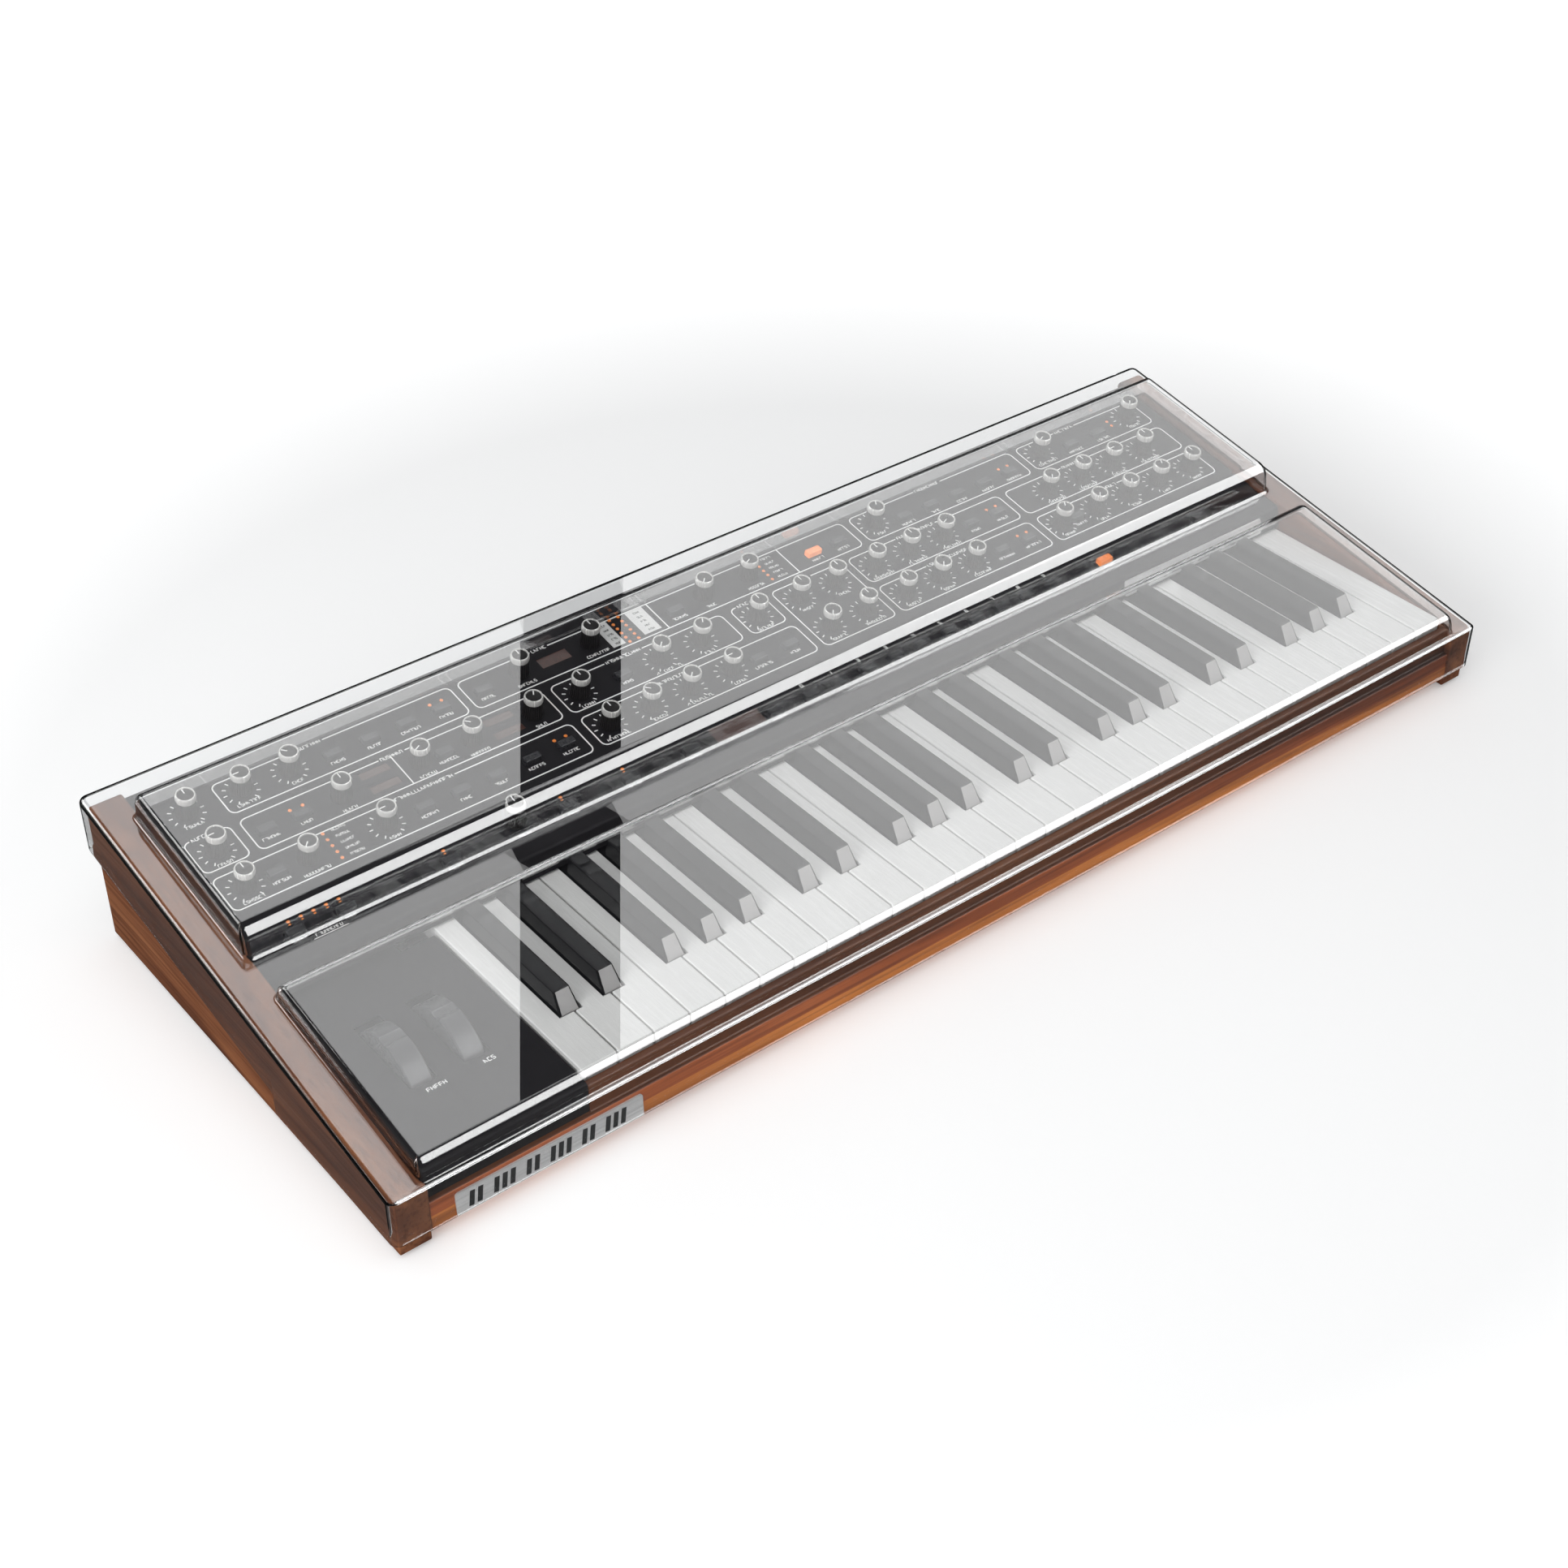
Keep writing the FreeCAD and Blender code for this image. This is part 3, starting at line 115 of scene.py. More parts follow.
# ---- mesh helpers --------------------------------------------------------------------
def finish_mesh(name, mesh, materials, smooth_angle=None):
    """Turn a bmesh into a linked object with these materials."""
    bmesh.ops.recalc_face_normals(mesh, faces=mesh.faces)
    data = bpy.data.meshes.new(name)
    mesh.to_mesh(data)
    mesh.free()
    for material in materials:
        data.materials.append(material)
    if smooth_angle is not None:
        data.shade_smooth()
        data.set_sharp_from_angle(angle=math.radians(smooth_angle))
    piece = bpy.data.objects.new(name, data)
    bpy.context.scene.collection.objects.link(piece)
    return piece


def join_rings(mesh, rings, material_index=0, close_ends=(True, True)):
    """Skin a list of equal-length closed rings of points into a tube."""
    loops = [[mesh.verts.new(point) for point in ring] for ring in rings]
    for lower, upper in zip(loops, loops[1:]):
        for place in range(len(lower)):
            after = (place + 1) % len(lower)
            face = mesh.faces.new((lower[place], lower[after], upper[after], upper[place]))
            face.material_index = material_index
    for closed, loop in zip(close_ends, (loops[0], loops[-1])):
        if closed:
            mesh.faces.new(loop).material_index = material_index
    return loops


def circle(radius, height, count, ribs=0, depth=0.0):
    """A ring of points; with ribs, half of each rib's pitch is a groove this deep."""
    points = []
    for step in range(count):
        angle = 2 * math.pi * step / count
        here = radius
        if ribs and (step * ribs * 4 // count) % 4 >= 2:
            here -= depth
        points.append(Vector((here * math.cos(angle), here * math.sin(angle), height)))
    return points


def rounded_rectangle(x_range, y_range, radius, height_at, arc_steps=4):
    """Points round a rectangle with rounded corners, anticlockwise; z comes from height_at."""
    corners = [(x_range[1], y_range[1], 0), (x_range[0], y_range[1], 90),
               (x_range[0], y_range[0], 180), (x_range[1], y_range[0], 270)]
    points = []
    for x, y, start in corners:
        centre_x = x - radius if x == x_range[1] else x + radius
        centre_y = y - radius if y == y_range[1] else y + radius
        for step in range(arc_steps + 1):
            angle = math.radians(start + 90 * step / arc_steps)
            px = centre_x + radius * math.cos(angle)
            py = centre_y + radius * math.sin(angle)
            points.append(Vector((px, py, height_at(py))))
    return points


def stroke(mesh, points, width, place, low=-0.05, high=0.07):
    """A raised line of even width through (x, up) points, as a closed prism."""
    left = []
    right = []
    for index, point in enumerate(points):
        here = Vector(point)
        before = Vector(points[max(index - 1, 0)])
        after = Vector(points[min(index + 1, len(points) - 1)])
        heading = (after - here).normalized() + (here - before).normalized()
        heading.normalize()
        side = Vector((-heading.y, heading.x))
        segment = (after - here) if index < len(points) - 1 else (here - before)
        square = Vector((-segment.y, segment.x)).normalized()
        reach = width / 2 / max(side.dot(square), 0.5)
        left.append(here + side * reach)
        right.append(here - side * reach)
    rows = []
    for a, b in zip(left, right):
        corners = [(a, low), (b, low), (b, high), (a, high)]
        rows.append([mesh.verts.new(place @ Vector((p.x, p.y, z))) for p, z in corners])
    for first, second in zip(rows, rows[1:]):
        for side in range(4):
            turn = (side + 1) % 4
            mesh.faces.new((first[side], first[turn], second[turn], second[side]))
    mesh.faces.new(rows[0])
    mesh.faces.new(rows[-1])


# ---- materials -----------------------------------------------------------------------
def start_material(name, colour, roughness, metallic=0.0):
    material = bpy.data.materials.new(name)
    material.use_nodes = True
    shader = material.node_tree.nodes["Principled BSDF"]
    shader.inputs["Base Color"].default_value = (*colour, 1)
    shader.inputs["Roughness"].default_value = roughness
    shader.inputs["Metallic"].default_value = metallic
    return material, shader


def noise(material, scale, detail=4.0, stretch=(1, 1, 1), distortion=0.0):
    """Noise over the part's own coordinates; stretch multiplies its pitch along each axis."""
    nodes = material.node_tree.nodes
    links = material.node_tree.links
    place = nodes.new("ShaderNodeTexCoord")
    mapping = nodes.new("ShaderNodeMapping")
    mapping.inputs["Scale"].default_value = stretch
    texture = nodes.new("ShaderNodeTexNoise")
    texture.inputs["Scale"].default_value = scale
    texture.inputs["Detail"].default_value = detail
    texture.inputs["Distortion"].default_value = distortion
    links.new(place.outputs["Object"], mapping.inputs["Vector"])
    links.new(mapping.outputs["Vector"], texture.inputs["Vector"])
    return texture.outputs["Fac"]


def ramp(material, factor, stops):
    """Colour ramp from [(position, colour), ...]."""
    node = material.node_tree.nodes.new("ShaderNodeValToRGB")
    while len(node.color_ramp.elements) < len(stops):
        node.color_ramp.elements.new(0.5)
    for element, (position, colour) in zip(node.color_ramp.elements, stops):
        element.position = position
        element.color = (*colour, 1)
    material.node_tree.links.new(factor, node.inputs["Fac"])
    return node.outputs["Color"]


def spread(material, factor, low, high):
    """Map the middle of a noise onto low to high."""
    node = material.node_tree.nodes.new("ShaderNodeMapRange")
    node.inputs["From Min"].default_value = 0.3
    node.inputs["From Max"].default_value = 0.7
    node.inputs["To Min"].default_value = low
    node.inputs["To Max"].default_value = high
    material.node_tree.links.new(factor, node.inputs["Value"])
    return node.outputs["Result"]


def multiply(material, first, second, share):
    node = material.node_tree.nodes.new("ShaderNodeMix")
    node.data_type = "RGBA"
    node.blend_type = "MULTIPLY"
    node.inputs["Factor"].default_value = share
    material.node_tree.links.new(first, node.inputs["A"])
    material.node_tree.links.new(second, node.inputs["B"])
    return node.outputs["Result"]


def bump(material, shader, height, distance):
    node = material.node_tree.nodes.new("ShaderNodeBump")
    node.inputs["Distance"].default_value = distance
    node.inputs["Strength"].default_value = 1.0
    material.node_tree.links.new(height, node.inputs["Height"])
    material.node_tree.links.new(node.outputs["Normal"], shader.inputs["Normal"])


# Height over which the bands of painted shade are laid out.
SHADE_BAND_HEIGHT = 0.1


def stained(material, colour, bands):
    """Painted shade: multiply a colour by a tone that darkens with height, in hard-edged bands.
    """
    nodes = material.node_tree.nodes
    links = material.node_tree.links
    place = nodes.new("ShaderNodeTexCoord")
    split = nodes.new("ShaderNodeSeparateXYZ")
    height = nodes.new("ShaderNodeMapRange")
    height.inputs["From Max"].default_value = SHADE_BAND_HEIGHT
    links.new(place.outputs["Object"], split.inputs["Vector"])
    links.new(split.outputs["Z"], height.inputs["Value"])
    stops = [(z / SHADE_BAND_HEIGHT, shade) for z, shade in bands]
    tone = ramp(material, height.outputs["Result"], stops)
    tone.node.color_ramp.interpolation = "CONSTANT"
    return multiply(material, colour, tone, 1.0)


def wood(name, along, tones, bands=None):
    """Oiled walnut with its grain along one axis, from dark streaks to light wood; bands add
    painted shade that darkens with height.
    """
    material, shader = start_material(name, tones[1], 0.4)
    broad = [26.0, 26.0, 26.0]
    fine = [420.0, 420.0, 420.0]
    broad[along] = 2.6
    fine[along] = 9.0
    figure = ramp(material, noise(material, 1.0, 6.0, broad, 0.9),
                  [(0.30, tones[0]), (0.46, tones[1]), (0.60, tones[2]), (0.74, tones[3])])
    pores = noise(material, 1.0, 3.0, fine)
    shade = ramp(material, pores, [(0.34, (0.50, 0.44, 0.40)), (0.52, (1, 1, 1))])
    links = material.node_tree.links
    colour = multiply(material, figure, shade, 0.75)
    # Bands of painted shade, darker with height.
    if bands:
        colour = stained(material, colour, bands)
    links.new(colour, shader.inputs["Base Color"])
    links.new(spread(material, pores, 0.50, 0.32), shader.inputs["Roughness"])
    bump(material, shader, pores, 0.00012)
    shader.inputs["Specular IOR Level"].default_value = 0.3
    return material


def satin(name, colour, roughness, grain_scale, grain_depth, shine=0.5):
    """A plain finish with fine grain in its height and roughness."""
    material, shader = start_material(name, colour, roughness)
    shader.inputs["Specular IOR Level"].default_value = shine
    grain = noise(material, grain_scale, 3.0)
    blotch = noise(material, 14.0, 3.0)
    low = tuple(channel * 0.86 for channel in colour)
    high = tuple(min(channel * 1.12, 1.0) for channel in colour)
    tone = ramp(material, blotch, [(0.35, low), (0.65, high)])
    links = material.node_tree.links
    links.new(tone, shader.inputs["Base Color"])
    links.new(spread(material, grain, roughness - 0.06, roughness + 0.06),
              shader.inputs["Roughness"])
    bump(material, shader, grain, grain_depth)
    return material


def brushed(name, colour, roughness, along, metallic=1.0):
    """Metal with fine brush lines along one axis."""
    material, shader = start_material(name, colour, roughness, metallic)
    pitch = [900.0, 900.0, 900.0]
    pitch[along] = 12.0
    lines = noise(material, 1.0, 2.0, pitch)
    material.node_tree.links.new(spread(material, lines, roughness - 0.08, roughness + 0.10),
                                 shader.inputs["Roughness"])
    low = tuple(channel * 0.82 for channel in colour)
    tone = ramp(material, lines, [(0.35, low), (0.62, colour)])
    material.node_tree.links.new(tone, shader.inputs["Base Color"])
    bump(material, shader, lines, 0.00002)
    return material


# How far a unit normal leans towards the player on what counts as a front face, where the
# painted reflection goes.
FRONT_NORMAL_Y = -0.8


def facing_front(material):
    """1 on surfaces that look towards the player, where the painted reflection goes, 0
    elsewhere.
    """
    nodes = material.node_tree.nodes
    links = material.node_tree.links
    place = nodes.new("ShaderNodeTexCoord")
    split = nodes.new("ShaderNodeSeparateXYZ")
    front = nodes.new("ShaderNodeMath")
    front.operation = "LESS_THAN"
    front.inputs[1].default_value = FRONT_NORMAL_Y
    links.new(place.outputs["Normal"], split.inputs["Vector"])
    links.new(split.outputs["Y"], front.inputs[0])
    return front.outputs["Value"]


def glossy_key(name, colour, roughness, scuff_depth, front=None):
    """Moulded key plastic, faintly uneven in tone and shine, with an optional pale front tone
    that is a painted reflection of a lamp.
    """
    material, shader = start_material(name, colour, roughness)
    cloud = noise(material, 30.0, 3.0)
    low = tuple(channel * 0.965 for channel in colour)
    tone = ramp(material, cloud, [(0.35, low), (0.65, colour)])
    scuffs = noise(material, 1.0, 3.0, (700.0, 40.0, 700.0))
    links = material.node_tree.links
    # The front tone is a painted reflection: a pale colour on front faces standing in for a lamp
    # mirrored there.
    if front:
        mix = material.node_tree.nodes.new("ShaderNodeMix")
        mix.data_type = "RGBA"
        mix.inputs["B"].default_value = (*front, 1)
        links.new(facing_front(material), mix.inputs["Factor"])
        links.new(tone, mix.inputs["A"])
        tone = mix.outputs["Result"]
    links.new(tone, shader.inputs["Base Color"])
    links.new(spread(material, scuffs, roughness - 0.04, roughness + 0.08),
              shader.inputs["Roughness"])
    bump(material, shader, scuffs, scuff_depth)
    shader.inputs["Specular IOR Level"].default_value = 0.3
    return material


def glowing(name, colour, strength):
    """Coloured lens with a lamp behind it."""
    material, shader = start_material(name, colour, 0.28)
    speck = noise(material, 900.0, 2.0)
    low = tuple(channel * 0.55 for channel in colour)
    tone = ramp(material, speck, [(0.35, low), (0.65, colour)])
    material.node_tree.links.new(tone, shader.inputs["Base Color"])
    material.node_tree.links.new(tone, shader.inputs["Emission Color"])
    shader.inputs["Emission Strength"].default_value = strength
    return material


def board_green():
    """Solder mask over copper tracks."""
    material, shader = start_material("board_green", (0.010, 0.075, 0.030), 0.35)
    tracks = noise(material, 1.0, 1.0, (260.0, 40.0, 60.0))
    tone = ramp(material, tracks, [(0.44, (0.006, 0.05, 0.022)), (0.47, (0.02, 0.13, 0.05)),
                                   (0.53, (0.02, 0.13, 0.05)), (0.56, (0.008, 0.06, 0.025))])
    material.node_tree.links.new(tone, shader.inputs["Base Color"])
    bump(material, shader, tracks, 0.00008)
    return material


def felt():
    material, shader = start_material("felt_red", (0.30, 0.012, 0.018), 0.95)
    fibres = noise(material, 1600.0, 6.0)
    tone = ramp(material, fibres, [(0.3, (0.16, 0.006, 0.010)), (0.7, (0.42, 0.02, 0.03))])
    material.node_tree.links.new(tone, shader.inputs["Base Color"])
    bump(material, shader, fibres, 0.0004)
    shader.inputs["Sheen Weight"].default_value = 0.5
    return material


def mirror_rays(node_tree):
    """1 for a ray that has met a mirror on its way, 0 for one that only came through."""
    path = node_tree.nodes.new("ShaderNodeLightPath")
    sent_back = node_tree.nodes.new("ShaderNodeMath")
    sent_back.operation = "GREATER_THAN"
    sent_back.inputs[1].default_value = 0.5
    node_tree.links.new(path.outputs["Glossy Depth"], sent_back.inputs[0])
    return sent_back.outputs["Value"]


def clear_cover():
    """Clear formed sheet: it bends and mirrors what is seen, and lets lamp light through."""
    material, shader = start_material("cover_clear", (0.985, 0.99, 0.992), 0.0)
    shader.inputs["Transmission Weight"].default_value = 1.0
    shader.inputs["IOR"].default_value = 1.85
    waves = noise(material, 14.0, 1.0)
    bump(material, shader, waves, 0.000003)
    nodes = material.node_tree.nodes
    links = material.node_tree.links
    path = nodes.new("ShaderNodeLightPath")
    lamp_ray = nodes.new("ShaderNodeMath")
    lamp_ray.operation = "MAXIMUM"
    straight = nodes.new("ShaderNodeBsdfTransparent")
    straight.inputs["Color"].default_value = (0.96, 0.96, 0.96, 1)
    blend = nodes.new("ShaderNodeMixShader")
    links.new(path.outputs["Is Shadow Ray"], lamp_ray.inputs[0])
    links.new(path.outputs["Is Diffuse Ray"], lamp_ray.inputs[1])
    links.new(lamp_ray.outputs["Value"], blend.inputs["Fac"])
    links.new(shader.outputs["BSDF"], blend.inputs[1])
    links.new(straight.outputs["BSDF"], blend.inputs[2])
    links.new(blend.outputs["Shader"], nodes["Material Output"].inputs["Surface"])
    return material


WALNUT_TONES = [(0.045, 0.014, 0.006), (0.135, 0.044, 0.018), (0.22, 0.078, 0.030),
                (0.29, 0.112, 0.045)]
RAIL_TONES = [(0.22, 0.074, 0.020), (0.57, 0.20, 0.044), (0.80, 0.30, 0.068),
              (0.90, 0.37, 0.090)]
# Painted shade on the rail, in bands that darken going up to the recessed strip under the keys:
# (height, how much of the tone is left above it).
RAIL_PAINTED_SHADE = [(0.0, (1.0, 0.88, 0.75)), (0.0185, (0.64, 0.42, 0.46)),
              (0.0275, (0.19, 0.165, 0.25))]
WALNUT_RAIL = wood("walnut_rail", 0, RAIL_TONES, RAIL_PAINTED_SHADE)
MATERIALS = {
    "walnut": wood("walnut_side", 1, WALNUT_TONES),
    "case_steel": satin("case_steel", (0.015, 0.014, 0.016), 0.42, 700.0, 0.00001, 0.05),
    "panel_black": satin("panel_black", (0.014, 0.013, 0.015), 0.40, 700.0, 0.000008, 0.05),
    "foot_rubber": satin("foot_rubber", (0.02, 0.02, 0.02), 0.85, 900.0, 0.00008),
    "fixing_steel": brushed("fixing_steel", (0.55, 0.55, 0.56), 0.32, 2),
    "bracket_steel": brushed("bracket_steel", (0.60, 0.60, 0.60), 0.36, 0),
    "felt_red": felt(),
    "circuit_board": board_green(),
    "lamp_amber": glowing("lamp_amber", (0.80, 0.22, 0.02), 0.5),
    "window_tint": glowing("window_tint", (0.055, 0.013, 0.006), 0.05),
    "plate_metal": brushed("plate_metal", (0.80, 0.80, 0.80), 0.34, 0, 0.35),
    "socket_black": satin("socket_black", (0.02, 0.02, 0.02), 0.45, 1500.0, 0.00004),
    "socket_metal": brushed("socket_metal", (0.70, 0.69, 0.66), 0.28, 1),
    "knob_black": satin("knob_black", (0.009, 0.008, 0.008), 0.38, 900.0, 0.00001, 0.15),
    "button_black": satin("button_black", (0.020, 0.020, 0.023), 0.30, 900.0, 0.00001, 0.35),
    "key_white": glossy_key("key_white", (0.83, 0.83, 0.815), 0.24, 0.000004),
    # The black keys' pale front tone is a painted reflection of a lamp.
    "key_black": glossy_key("key_black", (0.008, 0.008, 0.009), 0.16, 0.000002,
                            (0.40, 0.39, 0.385)),
    "wheel_black": satin("wheel_black", (0.052, 0.052, 0.056), 0.30, 900.0, 0.00001, 0.35),
    "rocker_black": satin("rocker_black", (0.02, 0.02, 0.02), 0.35, 1500.0, 0.00003),
    "cover_clear": clear_cover(),
}
RING_METAL = brushed("ring_metal", (0.90, 0.89, 0.86), 0.20, 2, 0.45)
WHITE_PAINT = satin("white_paint", (0.95, 0.95, 0.93), 0.5, 1800.0, 0.00002)
PATCH_PAINT = satin("patch_paint", (0.72, 0.72, 0.71), 0.5, 1800.0, 0.00002)
DARK_PAINT = satin("dark_paint", (0.015, 0.015, 0.016), 0.4, 1800.0, 0.00002)
LIT_BUTTON = glowing("lit_button", (0.85, 0.24, 0.06), 0.8)


def dress_cad_nodes():
    for name, node in NODES.items():
        for material_slot in node.material_slots:
            material_slot.material = MATERIALS[material_slot.material.name]
    NODES["front_rail"].material_slots[0].material = WALNUT_RAIL


# ---- knobs ---------------------------------------------------------------------------
RIBS = 28
KNOB_POINTS = RIBS * 4
# (radius, height above the panel) up the flange, ribbed grip, metal ring and cap.
KNOB_FLANGE = [(6.15, 0.8), (6.35, 1.0), (6.35, 1.6)]
KNOB_GRIP = [(6.30, 1.6), (6.05, 4.0), (5.82, 7.0), (5.62, 10.8), (5.40, 11.3)]
KNOB_RING = [(5.1, 11.3), (5.62, 11.5), (5.86, 12.1), (5.92, 13.3), (5.84, 14.5), (5.55, 15.4),
             (5.25, 15.75), (4.92, 15.72), (4.70, 15.35), (4.66, 14.7)]
KNOB_CAP = [(4.60, 14.6), (4.58, 15.0), (4.30, 15.22), (2.6, 15.36), (0.8, 15.40)]
GROOVE_DEPTH = 0.26
POINTER_OUTLINE = [(-0.34, 0.9), (0.34, 0.9), (0.34, 4.45), (-0.34, 4.45)]
POINTER_HEIGHTS = (14.9, 15.46)
KNOB_SETTINGS = (135, 115, 90, 45, 0, -30, 140)


def knob_into(mesh, place, turn):
    """Add one knob in panel millimetres about its axis: ribbed body, ring, cap, pointer."""
    spin = place @ Matrix.Rotation(turn, 4, "Z")

    def rings(profile, ribs=0, depth=0.0):
        return [[spin @ point for point in circle(radius, height, KNOB_POINTS, ribs, depth)]
                for radius, height in profile]

    join_rings(mesh, rings(KNOB_FLANGE), 0)
    join_rings(mesh, rings(KNOB_GRIP, RIBS, GROOVE_DEPTH), 0)
    join_rings(mesh, rings(KNOB_RING), 1)
    join_rings(mesh, rings(KNOB_CAP), 0)
    pointer = [[spin @ Vector((x, y, z)) for x, y in POINTER_OUTLINE] for z in POINTER_HEIGHTS]
    join_rings(mesh, pointer, 2)


def knob_piece(name, places):
    """One object holding a knob at each ((x, up), turn in degrees)."""
    mesh = bmesh.new()
    for (x, up), turn in places:
        knob_into(mesh, PANEL @ Matrix.Translation((x, up, 0)), math.radians(turn))
    piece = finish_mesh(name, mesh, [MATERIALS["knob_black"], RING_METAL, WHITE_PAINT], 32)
    return piece


def build_knobs():
    """Every knob; the fixed ones are left at many settings, the turning ones at zero."""
    places = []
    for name in NODES:
        if name.endswith("_knob"):
            centre = middle(solid_boxes(name, FROM_PANEL)[0])
            places.append((centre.x, centre.y))
            knob = knob_piece("look_" + name, [((centre.x, centre.y), 0)])
            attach(knob, name)
            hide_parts(name)
    chance = random.Random(49)
    fixed = []
    for box in solid_boxes("fixed_knobs", FROM_PANEL):
        centre = middle(box)
        places.append((centre.x, centre.y))
        fixed.append(((centre.x, centre.y), chance.choice(KNOB_SETTINGS)))
    knobs = knob_piece("look_fixed_knobs", fixed)
    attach(knobs, "chassis")
    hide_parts("fixed_knobs")
    return places


# ---- buttons -------------------------------------------------------------------------
BUTTON_RISE = 3.2
# (inset from the button's outline, height above the panel) up its side and over its top.
BUTTON_PROFILE = [(0.0, -4.6), (0.0, BUTTON_RISE - 0.7), (0.12, BUTTON_RISE - 0.3),
                  (0.42, BUTTON_RISE - 0.04), (0.7, BUTTON_RISE), (0.95, BUTTON_RISE - 0.10),
                  (1.5, BUTTON_RISE - 0.24)]
# (x, up) of the buttons with a lamp on.
LIT_BUTTONS = [(78.9, 122.3), (241.8, 20.0)]


def button_into(mesh, centre, half_x, half_y, material_index):
    """A push button with a softened edge and a shallow dished top."""
    place = PANEL @ Matrix.Translation(centre)
    rings = []
    for inset, height in BUTTON_PROFILE:
        x = half_x - inset
        y = half_y - inset
        radius = max(0.7 - inset * 0.5, 0.15)
        ring = rounded_rectangle((-x, x), (-y, y), radius, lambda _: height, 3)
        rings.append([place @ point for point in ring])
    join_rings(mesh, rings, material_index)


def build_buttons():
    """One piece of buttons for each CAD group; returns where they all stand."""
    everywhere = []
    for name in sorted(NODES):
        if not name.endswith("_buttons"):
            continue
        mesh = bmesh.new()
        for low, high in solid_boxes(name, FROM_PANEL):
            centre = (low + high) / 2
            everywhere.append((centre.x, centre.y))
            lit = near((centre.x, centre.y), LIT_BUTTONS, 3.0)
            half = (high - low) / 2
            button_into(mesh, (centre.x, centre.y, 0), half.x, half.y, 1 if lit else 0)
        caps = finish_mesh("look_" + name, mesh, [MATERIALS["button_black"], LIT_BUTTON], 35)
        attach(caps, name)
        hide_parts(name)
    return everywhere


# ---- panel artwork -------------------------------------------------------------------
FRAME_LINE = 0.85
FRAME_CORNER = 4.0
# Section outlines: left, right, bottom, top, title start and number of letters.
SECTIONS = [
    (-343.7, -187.3, 111.8, 137.2, -290.0, 8),
    (-181.8, 113.1, 111.8, 137.2, -128.0, 5),
    (119.5, 262.0, 111.8, 137.2, 178.0, 10),
    (268.0, 378.0, 111.8, 137.2, 306.0, 8),
    (-377.7, -349.6, 79.9, 105.7, -372.0, 7),
    (-343.6, -142.8, 79.9, 105.7, -252.4, 7),
    (-136.7, -8.8, 79.9, 105.7, -95.0, 12),
    (-1.6, 24.8, 79.9, 105.7, 5.0, 4),
    (31.0, 87.9, 48.0, 105.7, 52.0, 5),
    (93.6, 224.0, 79.9, 105.7, 136.0, 15),
    (230.0, 376.5, 79.9, 105.7, 284.0, 10),
    (-377.5, -143.2, 48.0, 74.4, -264.0, 19),
    (-136.5, 25.0, 48.0, 74.4, -84.0, 12),
    (93.6, 224.0, 48.0, 74.4, 136.0, 16),
    (230.5, 377.5, 48.0, 74.4, 284.0, 10),
]
# Upright lines inside sections: x, bottom, top.
DIVIDERS = [(-43.0, 112.2, 136.8), (60.0, 112.2, 136.8), (-246.2, 80.3, 105.3)]
# (x, up) of the knobs without tick marks, and of those with two wave shapes below.
PLAIN_KNOBS = [(-286.2, 91.7), (-325.4, 60.7), (-235.1, 91.7), (-199.9, 91.7),
               (-157.7, 91.7), (-144.9, 125.3), (-93.5, 125.3), (-7.7, 125.3), (28.0, 125.3),
               (-214.0, 26.5)]
SHAPE_KNOBS = [(-65.0, 91.7), (-65.0, 60.7)]
TITLE_SIZE = 2.3
TITLE_GAPS = (1.4, 1.0)
LABEL_SIZE = 2.0
# As shares of the letter height: how far apart marks stand, how wide one is, how thick.
LETTER_PITCH = 0.92
MARK_WIDTH = 0.62
MARK_LINE = 0.20
# Tick marks: number, first angle and step in degrees, inner and outer radius, width.
TICKS = 11
FIRST_TICK = -145
TICK_STEP = 29
TICK_RADII = (8.4, 10.7)
TICK_LINE = 0.75
SAW_SHAPE = [(-9.4, -10.6), (-7.6, -8.8), (-7.6, -10.6)]
PULSE_SHAPE = [(7.0, -10.6), (7.0, -8.8), (8.6, -8.8), (8.6, -10.6), (9.8, -10.6)]
# Below this height the panel is one long strip of buttons; the numbered ones are in reach.
STRIP_TOP = 35
NUMBERED_REACH = (-10, 200)
# Short words beside lamp columns: middle x, height of the top one, pitch, letters.
LAMP_WORDS = [(-299.5, 72.3, 5.2, 6), (49.0, 133.2, 4.6, 5)]
# Strokes of a made-up mark, in a cell one unit wide and one high.
MARKS = {
    "l": ((0, 0), (0, 1)), "r": ((1, 0), (1, 1)), "t": ((0, 1), (1, 1)),
    "m": ((0, 0.5), (1, 0.5)), "b": ((0, 0), (1, 0)), "d": ((0, 1), (1, 0)),
    "h": ((1, 0), (1, 0.5)), "k": ((0, 0.5), (0, 1)),
}
MARK_SHAPES = ["lt", "lrm", "tkmhb", "ltb", "lrt", "lb", "rlb", "ltm", "mlr", "dl", "tr"]
DIGITS = {"0": "lrtb", "1": "r", "2": "trmb", "3": "trmb", "4": "kmr", "5": "tkmhb",
          "6": "tlmhb", "7": "tr", "8": "lrtmb", "9": "tkmrb"}


def mark(mesh, shape, corner, size, place=PANEL):
    width = size * MARK_WIDTH
    for key in shape:
        ends = [(corner[0] + x * width, corner[1] + y * size) for x, y in MARKS[key]]
        stroke(mesh, ends, size * MARK_LINE, place)


def label(mesh, chance, x, up, letters, size, place=PANEL):
    """A row of made-up marks centred on x with its foot at up."""
    pitch = size * LETTER_PITCH
    start = x - pitch * letters / 2
    for letter in range(letters):
        mark(mesh, chance.choice(MARK_SHAPES), (start + letter * pitch, up), size, place)


